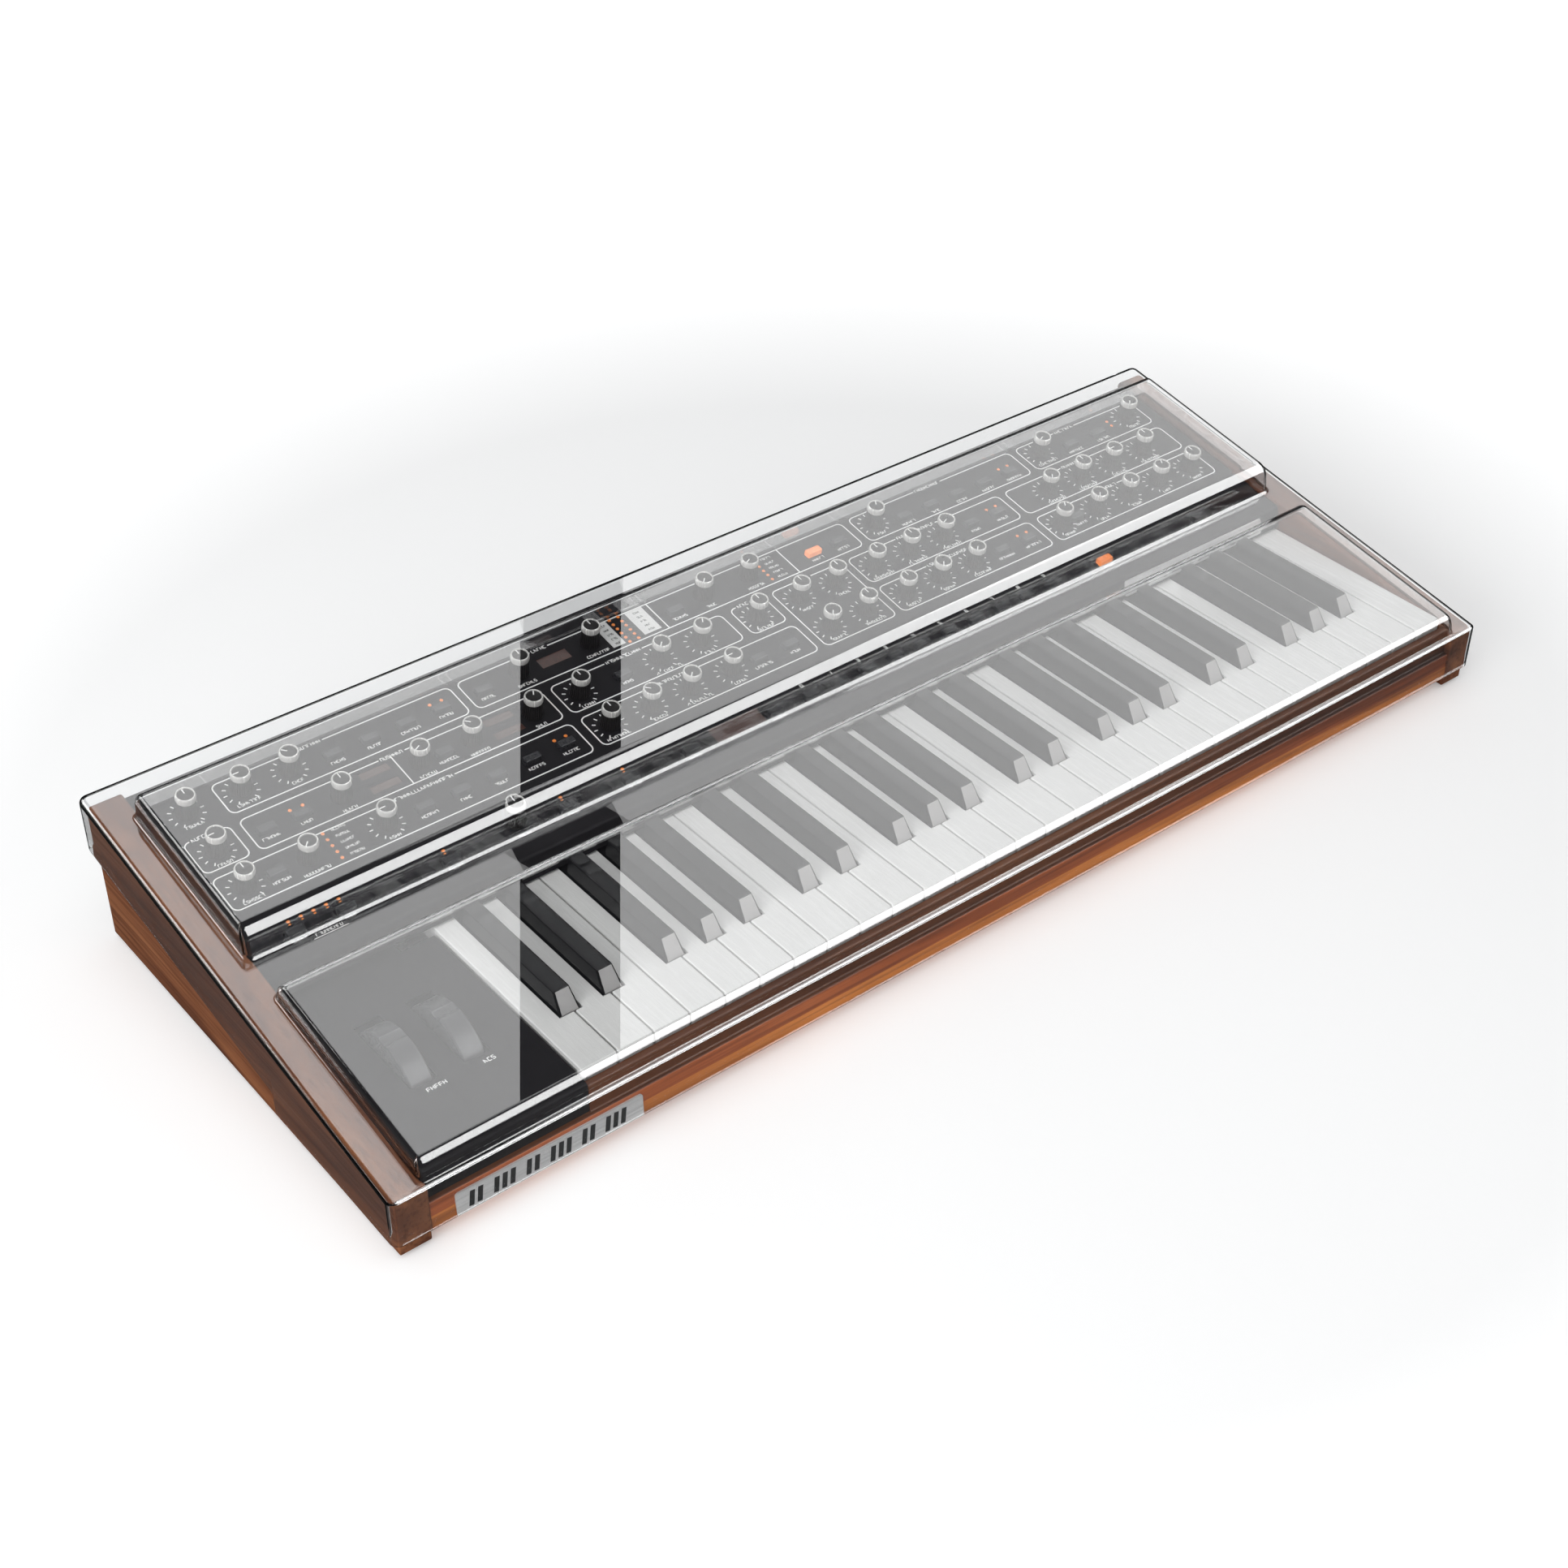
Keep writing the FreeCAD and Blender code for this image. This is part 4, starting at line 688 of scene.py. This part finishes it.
def section(mesh, chance, left, right, bottom, top, title, letters):
    """A rounded outline that stops either side of its title."""
    pitch = TITLE_SIZE * LETTER_PITCH
    path = [(title + letters * pitch + TITLE_GAPS[1], top)]
    corners = [(right, top, 90), (right, bottom, 0), (left, bottom, -90), (left, top, 180)]
    for x, y, start in corners:
        centre_x = x - FRAME_CORNER if x == right else x + FRAME_CORNER
        centre_y = y - FRAME_CORNER if y == top else y + FRAME_CORNER
        for step in range(7):
            angle = math.radians(start - 15 * step)
            path.append((centre_x + FRAME_CORNER * math.cos(angle),
                         centre_y + FRAME_CORNER * math.sin(angle)))
    path.append((title - TITLE_GAPS[0], top))
    stroke(mesh, path, FRAME_LINE, PANEL)
    label(mesh, chance, title + letters * pitch / 2, top - TITLE_SIZE / 2, letters, TITLE_SIZE)


def knob_artwork(mesh, chance, x, up):
    """Tick marks round a knob and the label below it."""
    if not near((x, up), PLAIN_KNOBS):
        for step in range(TICKS):
            angle = math.radians(FIRST_TICK + TICK_STEP * step)
            direction = Vector((math.sin(angle), math.cos(angle)))
            centre = Vector((x, up))
            ends = [centre + direction * radius for radius in TICK_RADII]
            stroke(mesh, ends, TICK_LINE, PANEL)
    if near((x, up), SHAPE_KNOBS):
        for wave in (SAW_SHAPE, PULSE_SHAPE):
            stroke(mesh, [(x + dx, up + dy) for dx, dy in wave], 0.4, PANEL)
    below = 8.9 if up > STRIP_TOP else 11.0
    label(mesh, chance, x, up - below - LABEL_SIZE, chance.randint(4, 9), LABEL_SIZE)


def button_artwork(mesh, chance, x, up, digits):
    """A label under a panel button, or a digit or label behind a button of the strip."""
    if up > STRIP_TOP:
        label(mesh, chance, x, up - 6.9, chance.randint(4, 7), LABEL_SIZE)
    elif digits is not None:
        mark(mesh, DIGITS[digits], (x - 0.9, up + 7.2), 2.6)
    else:
        label(mesh, chance, x, up - 7.4, chance.randint(4, 6), LABEL_SIZE)


def small_labels(mesh, chance):
    """The short words beside the lamp columns and the underlined words at the far left."""
    for step in range(5):
        for x, top, pitch, letters in LAMP_WORDS:
            label(mesh, chance, x, top - pitch * step, letters, 1.6)
    stroke(mesh, [(-352.0, 9.4), (-331.0, 9.4)], 0.5, PANEL)
    label(mesh, chance, -341.5, 10.4, 9, LABEL_SIZE)


def build_artwork(knobs, buttons):
    chance = random.Random(7)
    mesh = bmesh.new()
    for left, right, bottom, top, title, letters in SECTIONS:
        section(mesh, chance, left, right, bottom, top, title, letters)
    for x, low, high in DIVIDERS:
        stroke(mesh, [(x, low), (x, high)], FRAME_LINE, PANEL)
    for x, up in sorted(knobs):
        knob_artwork(mesh, chance, x, up)
    banks = [place for place in sorted(buttons)
             if place[1] < STRIP_TOP and NUMBERED_REACH[0] < place[0] < NUMBERED_REACH[1]]
    for place in sorted(buttons):
        digits = str(banks.index(place)) if place in banks else None
        button_artwork(mesh, chance, place[0], place[1], digits)
    small_labels(mesh, chance)
    artwork = finish_mesh("panel_artwork", mesh, [WHITE_PAINT])
    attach(artwork, "chassis")


# Outlines of the two pale blocks, and their rows of marks: top one and pitch.
PATCHES = [
    [(-59.7, 114.5), (-47.0, 114.5), (-47.0, 137.0), (-59.7, 137.0)],
    [(-83.0, 114.5), (-74.0, 114.5), (-74.0, 137.0), (-78.3, 137.0), (-83.0, 131.5)],
]
PATCH_TOP_ROW = 133.0
PATCH_ROW_PITCH = 4.2


def build_patches():
    """The two pale blocks beside the lamp columns, with dark marks on them."""
    chance = random.Random(3)
    mesh = bmesh.new()
    marks = bmesh.new()
    for outline in PATCHES:
        rings = [[PANEL @ Vector((x, up, height)) for x, up in outline]
                 for height in (-0.05, 0.08)]
        join_rings(mesh, rings)
        centre = sum(x for x, _ in outline) / len(outline)
        for row in range(5):
            label(marks, chance, centre + 0.6, PATCH_TOP_ROW - PATCH_ROW_PITCH * row, 3, 1.5,
                  PANEL @ Matrix.Translation((0, 0, 0.09)))
    patches = finish_mesh("lamp_key_patches", mesh, [PATCH_PAINT])
    words = finish_mesh("lamp_key_marks", marks, [DARK_PAINT])
    for piece in (patches, words):
        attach(piece, "chassis")


# ---- wheel panel artwork and plain plates ----------------------------------------------
WHEEL_LABEL_SIZE = 2.6
# From a wheel's middle to the middle of its label's foot, in millimetres.
WHEEL_LABEL_PLACE = (4.0, -35.6)


def build_wheel_artwork():
    """Two short labels in front of the wheels."""
    chance = random.Random(11)
    mesh = bmesh.new()
    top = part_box("wheel_panel")[1].z
    for name, letters in (("pitch_wheel", 5), ("mod_wheel", 3)):
        low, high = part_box(name)
        x = (low.x + high.x) / 2 / MM + WHEEL_LABEL_PLACE[0]
        y = (low.y + high.y) / 2 / MM + WHEEL_LABEL_PLACE[1]
        place = Matrix.Translation((0, 0, top)) @ Matrix.Scale(MM, 4)
        label(mesh, chance, x, y, letters, WHEEL_LABEL_SIZE, place)
    piece = finish_mesh("wheel_artwork", mesh, [WHITE_PAINT])
    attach(piece, "chassis")


# Bars on the rail plate: places for them, gaps in every seven, and the plate's margins.
BAR_PLACES = 21
BAR_GAPS = (2, 6)
BAR_SIDE_MARGIN = 6.0
BAR_END_MARGIN = 2.8
BAR_LEAN = 1.4
# Wave on the lip plate: margin, height each way, width of line, crests and steps.
WAVE_MARGIN = 8.0
WAVE_HEIGHT = 3.2
WAVE_LINE = 1.5
WAVE_CRESTS = 7
WAVE_STEPS = 96


def rail_plate_bars(plate):
    """Plain upright bars in groups, a little like the black keys of a keyboard."""
    face = Matrix.Translation((0, plate[0].y, 0)) @ Matrix.Rotation(math.radians(90), 4, "X")
    place = face @ Matrix.Scale(MM, 4)
    mesh = bmesh.new()
    low_x, high_x = plate[0].x / MM, plate[1].x / MM
    low_z, high_z = plate[0].z / MM, plate[1].z / MM
    pitch = (high_x - low_x - 2 * BAR_SIDE_MARGIN) / BAR_PLACES
    for bar in range(BAR_PLACES):
        if bar % 7 in BAR_GAPS:
            continue
        x = low_x + BAR_SIDE_MARGIN + (bar + 0.5) * pitch
        ends = [(x, low_z + BAR_END_MARGIN), (x + BAR_LEAN, high_z - BAR_END_MARGIN)]
        stroke(mesh, ends, pitch * 0.62, place, -0.1, 0.06)
    return finish_mesh("rail_plate_bars", mesh, [DARK_PAINT])


def lip_plate_wave(plate):
    """A plain wavy line along the plate on the panel's front lip."""
    wave = bmesh.new()
    low, high = plate
    rise = high - low
    upward = Vector((0, rise.y, rise.z)).normalized()
    outward = Vector((0, -upward.z, upward.y))
    along = Vector((1, 0, 0))
    columns = Matrix((along * MM, upward * MM, outward * MM)).transposed().to_4x4()
    centre = (low + high) / 2
    place = Matrix.Translation(centre) @ columns
    half = rise.x / MM / 2 - WAVE_MARGIN
    points = []
    for step in range(WAVE_STEPS + 1):
        share = step / WAVE_STEPS
        height = WAVE_HEIGHT * math.sin(share * 2 * math.pi * WAVE_CRESTS)
        points.append((-half + 2 * half * share, height))
    stroke(wave, points, WAVE_LINE, place, 0.2, 0.5)
    return finish_mesh("lip_plate_wave", wave, [DARK_PAINT])


def build_plate_motifs():
    rail, lip = sorted(solid_boxes("badges", Matrix.Identity(4)), key=lambda box: box[0].z)
    for piece in (rail_plate_bars(rail), lip_plate_wave(lip)):
        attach(piece, "chassis")


# ---- dust cover ----------------------------------------------------------------------
WALL = 2.0 * MM
COVER_LOW, COVER_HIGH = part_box("dust_cover")
# Heights below are above the sloped shelf, whose height at the cover's front is this.
SHELF_FRONT_Z = 43.0 * MM - 3.0 * MM * math.tan(SLOPE)
# The raised boxes: distance of front and back top edges from the cover's front, rise,
# leans of front and back, and the roundings of the front, back and side edges.
FRONT_BOX = {"front": 4.6, "back": 140.2, "rise": 12.0, "lean": (1.4, 1.6),
             "edge": (5.0, 8.0, 3.8), "foot": (0.5, 2.0, 2.2)}
REAR_BOX = {"front": 171.2, "back": 288.9, "rise": 18.4, "lean": (2.4, 2.2),
            "edge": (8.0, 6.0, 4.2), "foot": (2.5, 2.5, 2.2)}
BOX_HALF_X = 390.4 * MM
BOX_CORNER = 4.0 * MM
SKIRT_EDGE = 3.8 * MM
SKIRT_FRONT_EDGE = 1.0 * MM
# Along the front the top edge's rounding is this share of its height, then grows to full.
FRONT_EDGE_SHARE = 0.25
FRONT_EDGE_REACH = 8.0 * MM
SKIRT_CORNER = 5.0 * MM
ARC_STEPS = 6
# How much a corner's radius changes for each unit that a ring moves in or out.
CORNER_FOLLOW = 0.8
# The lower edge: where it steps up, half the step's run, rise before it, and beyond it.
STEP_Y = 118.0 * MM
STEP_HALF_RUN = 0.2 * MM
LIP_FRONT_RISE = 2.0 * MM
LIP_STEP_Z = 28.0 * MM
LIP_BACK_RISE = 36.0 * MM


def shelf(y):
    """Height of the cover's sloped flat part."""
    return SHELF_FRONT_Z + (y - COVER_LOW.y) * math.tan(SLOPE)


def lip_height(y):
    """The lower edge of the skirt: low at the keys, stepped up towards the back."""
    reach = y - COVER_LOW.y
    if reach < STEP_Y:
        return COVER_LOW.z + LIP_FRONT_RISE * max(reach, 0) / STEP_Y
    share = (reach - STEP_Y) / (COVER_HIGH.y - COVER_LOW.y - STEP_Y)
    return LIP_STEP_Z + LIP_BACK_RISE * share


def skirt_ring(inset, front_inset, height_at):
    """A ring round the skirt with two close points at the step on each side."""
    x = COVER_HIGH.x - inset
    front = COVER_LOW.y + front_inset
    back = COVER_HIGH.y - inset
    radius = SKIRT_CORNER - inset * CORNER_FOLLOW
    ring = rounded_rectangle((-x, x), (front, back), radius, height_at, ARC_STEPS)
    before_step = COVER_LOW.y + STEP_Y - STEP_HALF_RUN
    after_step = COVER_LOW.y + STEP_Y + STEP_HALF_RUN
    left = [Vector((-x, y, height_at(y))) for y in (after_step, before_step)]
    right = [Vector((x, y, height_at(y))) for y in (before_step, after_step)]
    back_points = 2 * (ARC_STEPS + 1)
    return ring[:back_points] + left + ring[back_points:] + right


def fillet_steps(count=8):
    """Angles from 0 to a quarter turn."""
    return [math.radians(90 * step / count) for step in range(count + 1)]


def edge_share(y):
    """The rounded top edge is tight along the front and full size behind it."""
    grown = max(0.0, y - COVER_LOW.y) / FRONT_EDGE_REACH
    return min(1.0, FRONT_EDGE_SHARE + (1 - FRONT_EDGE_SHARE) * grown)


def skirt_rings():
    """From the lower edge up the side and over the rounded top edge onto the shelf."""
    rings = [skirt_ring(0, 0, lip_height)]
    for share in (0.35, 0.7):
        rings.append(skirt_ring(0, 0, lambda y, s=share: lip_height(y) * (1 - s)
                                + (shelf(y) - SKIRT_EDGE * edge_share(y)) * s))
    for angle in fillet_steps():
        inset = SKIRT_EDGE * (1 - math.cos(angle))
        front_inset = SKIRT_FRONT_EDGE * (1 - math.cos(angle))
        drop = SKIRT_EDGE * (1 - math.sin(angle))
        rings.append(skirt_ring(inset, front_inset,
                                lambda y, d=drop: shelf(y) - d * edge_share(y)))
    return rings


def box_ring(sizes, outsets, height):
    """A ring round a raised box at a height above the shelf, grown by the outsets."""
    front_out, back_out, side_out = outsets
    rise = sizes["rise"] * MM
    share = 1 - height / rise
    front = COVER_LOW.y + sizes["front"] * MM - sizes["lean"][0] * MM * share - front_out
    back = COVER_LOW.y + sizes["back"] * MM + sizes["lean"][1] * MM * share + back_out
    x = BOX_HALF_X + side_out
    radius = BOX_CORNER + side_out * CORNER_FOLLOW
    return rounded_rectangle((-x, x), (front, back), radius, lambda y: shelf(y) + height,
                             ARC_STEPS)


def box_rings(sizes):
    """From the foot on the shelf up the wall and over the rounded top edge."""
    foot = [value * MM for value in sizes["foot"]]
    edge = [value * MM for value in sizes["edge"]]
    rise = sizes["rise"] * MM
    foot_height = max(foot)
    edge_height = max(edge)
    rings = []
    for angle in fillet_steps(5):
        outs = [value * (1 - math.sin(angle)) for value in foot]
        rings.append(box_ring(sizes, outs, foot_height * (1 - math.cos(angle))))
    for angle in fillet_steps(9):
        outs = [-value * (1 - math.cos(angle)) for value in edge]
        rings.append(box_ring(sizes, outs, rise - edge_height * (1 - math.sin(angle))))
    return rings


def open_edges(loop):
    """The edges that join one ring's own points."""
    return [edge for vertex in loop for edge in vertex.link_edges
            if edge.other_vert(vertex) in loop]


def build_cover():
    """The formed sheet as rings: skirt, shelf and two raised boxes, thickened inwards."""
    mesh = bmesh.new()
    skirt = join_rings(mesh, skirt_rings(), 0, (False, False))
    boundary = open_edges(skirt[-1])
    for sizes in (FRONT_BOX, REAR_BOX):
        loops = join_rings(mesh, box_rings(sizes), 0, (False, True))
        boundary += open_edges(loops[0])
    # Each edge once and always in this order, so that the fill is the same in every run.
    edges = list(dict.fromkeys(boundary))
    bmesh.ops.triangle_fill(mesh, use_beauty=True, use_dissolve=False, edges=edges)
    cover = finish_mesh("look_dust_cover", mesh, [MATERIALS["cover_clear"]], 60)
    thick = cover.modifiers.new("thickness", "SOLIDIFY")
    thick.thickness = WALL
    thick.offset = -1
    thick.use_even_offset = True
    even = cover.modifiers.new("flat_normals", "WEIGHTED_NORMAL")
    even.keep_sharp = True
    even.weight = 80
    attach(cover, "dust_cover")
    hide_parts("dust_cover")


# ---- stage, lights and camera ----------------------------------------------------------
CAMERA_PLACE = Vector((-0.7697, -0.9100, 0.9213))
YAW = math.radians(38.79)
PITCH = math.radians(37.42)
ROLL = math.radians(0.38)
LENS = 55.95


def camera_axes():
    """Right, up and forward of the camera."""
    forward = Vector((math.sin(YAW) * math.cos(PITCH), math.cos(YAW) * math.cos(PITCH),
                      -math.sin(PITCH)))
    level = Vector((math.cos(YAW), -math.sin(YAW), 0))
    lift = level.cross(forward)
    right = level * math.cos(ROLL) + lift * math.sin(ROLL)
    up = lift * math.cos(ROLL) - level * math.sin(ROLL)
    return right, up, forward


def build_camera():
    right, up, forward = camera_axes()
    data = bpy.data.cameras.new("camera")
    data.lens = LENS
    data.sensor_width = 36.0
    data.clip_start = 0.02
    data.clip_end = 60.0
    camera = bpy.data.objects.new("camera", data)
    turn = Matrix((right, up, -forward)).transposed().to_4x4()
    camera.matrix_world = Matrix.Translation(CAMERA_PLACE) @ turn
    bpy.context.scene.collection.objects.link(camera)
    bpy.context.scene.camera = camera


def area_light(name, centre, across, down, size, radiance, seen_by):
    """A soft rectangle with its back along across x down, given by its surface brightness.

    seen_by is "mirrors" for the softboxes that only show in shiny surfaces, and "matt"
    for the fill that only lights the parts.
    """
    data = bpy.data.lights.new(name, "AREA")
    data.shape = "RECTANGLE"
    data.size = size[0]
    data.size_y = size[1]
    data.energy = radiance * math.pi * size[0] * size[1]
    light = bpy.data.objects.new(name, data)
    light.visible_diffuse = seen_by == "matt"
    light.visible_glossy = seen_by == "mirrors"
    light.visible_transmission = seen_by == "mirrors"
    facing = across.cross(down)
    turn = Matrix((across, down, facing)).transposed().to_4x4()
    light.matrix_world = Matrix.Translation(centre) @ turn
    bpy.context.scene.collection.objects.link(light)


# The top softboxes, as slopes away from the line of sight that the cover's tops mirror:
# how far they reach down and up and to either side, and the gap between the two.
TOP_DISTANCE = 3.2
TOP_RADIANCE = 1.5
TOP_EXTENT = (-0.22, 0.20)
TOP_SIDE = 0.34
GAP = (-0.1082, -0.0669)
# The other softboxes: name, place, size, surface brightness, and what they show in.
SOFTBOXES = [
    ("front_softbox", (1.39, -1.70, 1.79), (3.4, 2.4), 4.6, "mirrors"),
    ("back_left_softbox", (-1.70, 1.75, 1.45), (1.6, 1.0), 3.6, "mirrors"),
    ("overhead_fill", (-0.7, -0.3, 2.5), (3.0, 3.0), 1.15, "matt"),
    ("left_fill", (-2.3, -0.7, 0.95), (2.0, 1.4), 4.0, "matt"),
]


def build_top_lights():
    """Two softboxes with a gap, placed where the cover's flat tops mirror the camera."""
    normal = Vector((0, -math.sin(SLOPE), math.cos(SLOPE)))
    top_point = Vector((0, 0.07, shelf(0.07) + REAR_BOX["rise"] * MM))
    right, up, forward = camera_axes()

    def mirrored(vector):
        return vector - 2 * vector.dot(normal) * normal

    eye = top_point + mirrored(CAMERA_PLACE - top_point)
    ahead = mirrored(forward)
    across = mirrored(right)
    down = mirrored(up)
    low, high = TOP_EXTENT
    for name, start, end in (("top_left", -TOP_SIDE, GAP[0]),
                             ("top_right", GAP[1], TOP_SIDE)):
        centre = eye + TOP_DISTANCE * (ahead + across * (start + end) / 2
                                       + down * (low + high) / 2)
        size = (TOP_DISTANCE * (end - start), TOP_DISTANCE * (high - low))
        area_light(name, centre, across, down, size, TOP_RADIANCE, "mirrors")


def aim(name, place, size, radiance, seen_by):
    """A softbox at a place, turned to face the middle of the synthesizer."""
    facing = (Vector(place) - Vector((0, 0, 0.06))).normalized()
    across = Vector((0, 0, 1)).cross(facing).normalized()
    area_light(name, Vector(place), across, facing.cross(across), size, radiance, seen_by)


def build_lights():
    build_top_lights()
    for softbox in SOFTBOXES:
        aim(*softbox)


# The floor glows more with distance, so that it is painted darker round the synthesizer as
# painted shade: from and to these distances, and how strongly.
FLOOR_HALF_SIZE = 12.0
GLOW_DISTANCES = (0.5, 1.1)
GLOW_STRENGTHS = (0.25, 0.90)


def floor_white():
    """Pale and faintly glowing by direct sight, glowing less round the synthesizer as painted
    shade, and dark where a shiny surface mirrors it.
    """
    material, shader = start_material("floor_white", (0.86, 0.86, 0.86), 0.6)
    cloud = noise(material, 1.3, 2.0)
    tone = ramp(material, cloud, [(0.3, (0.85, 0.85, 0.85)), (0.7, (0.87, 0.87, 0.87))])
    nodes = material.node_tree.nodes
    links = material.node_tree.links
    links.new(tone, shader.inputs["Base Color"])
    shader.inputs["Specular IOR Level"].default_value = 0.1
    shader.inputs["Emission Color"].default_value = (1, 1, 1, 1)
    # Less glow close to the synthesizer paints shade on the floor round it.
    place = nodes.new("ShaderNodeTexCoord")
    reach = nodes.new("ShaderNodeVectorMath")
    reach.operation = "LENGTH"
    glow = nodes.new("ShaderNodeMapRange")
    glow.inputs["From Min"].default_value = GLOW_DISTANCES[0]
    glow.inputs["From Max"].default_value = GLOW_DISTANCES[1]
    glow.inputs["To Min"].default_value = GLOW_STRENGTHS[0]
    glow.inputs["To Max"].default_value = GLOW_STRENGTHS[1]
    links.new(place.outputs["Object"], reach.inputs[0])
    links.new(reach.outputs["Value"], glow.inputs["Value"])
    links.new(glow.outputs["Result"], shader.inputs["Emission Strength"])
    dark = nodes.new("ShaderNodeBsdfDiffuse")
    dark.inputs["Color"].default_value = (0.10, 0.10, 0.10, 1)
    blend = nodes.new("ShaderNodeMixShader")
    links.new(mirror_rays(material.node_tree), blend.inputs["Fac"])
    links.new(shader.outputs["BSDF"], blend.inputs[1])
    links.new(dark.outputs["BSDF"], blend.inputs[2])
    links.new(blend.outputs["Shader"], nodes["Material Output"].inputs["Surface"])
    return material


def build_floor():
    mesh = bmesh.new()
    size = FLOOR_HALF_SIZE
    corners = [(-size, -size), (size, -size), (size, size), (-size, size)]
    mesh.faces.new([mesh.verts.new((x, y, 0)) for x, y in corners])
    floor = finish_mesh("floor", mesh, [floor_white()])


def build_world():
    """Pale all round, but dark in mirror reflections so that only the lamps show there."""
    world = bpy.data.worlds.new("studio")
    world.use_nodes = True
    nodes = world.node_tree.nodes
    links = world.node_tree.links
    mix = nodes.new("ShaderNodeMix")
    mix.data_type = "RGBA"
    mix.inputs["A"].default_value = (0.30, 0.305, 0.31, 1)
    mix.inputs["B"].default_value = (0.02, 0.02, 0.022, 1)
    links.new(mirror_rays(world.node_tree), mix.inputs["Factor"])
    links.new(mix.outputs["Result"], nodes["Background"].inputs["Color"])
    bpy.context.scene.world = world


def main():
    dress_cad_nodes()
    knobs = build_knobs()
    buttons = build_buttons()
    build_artwork(knobs, buttons)
    build_patches()
    build_wheel_artwork()
    build_plate_motifs()
    build_cover()
    build_floor()
    build_world()
    build_lights()
    build_camera()
    bpy.context.scene.view_settings.view_transform = "Standard"


main()
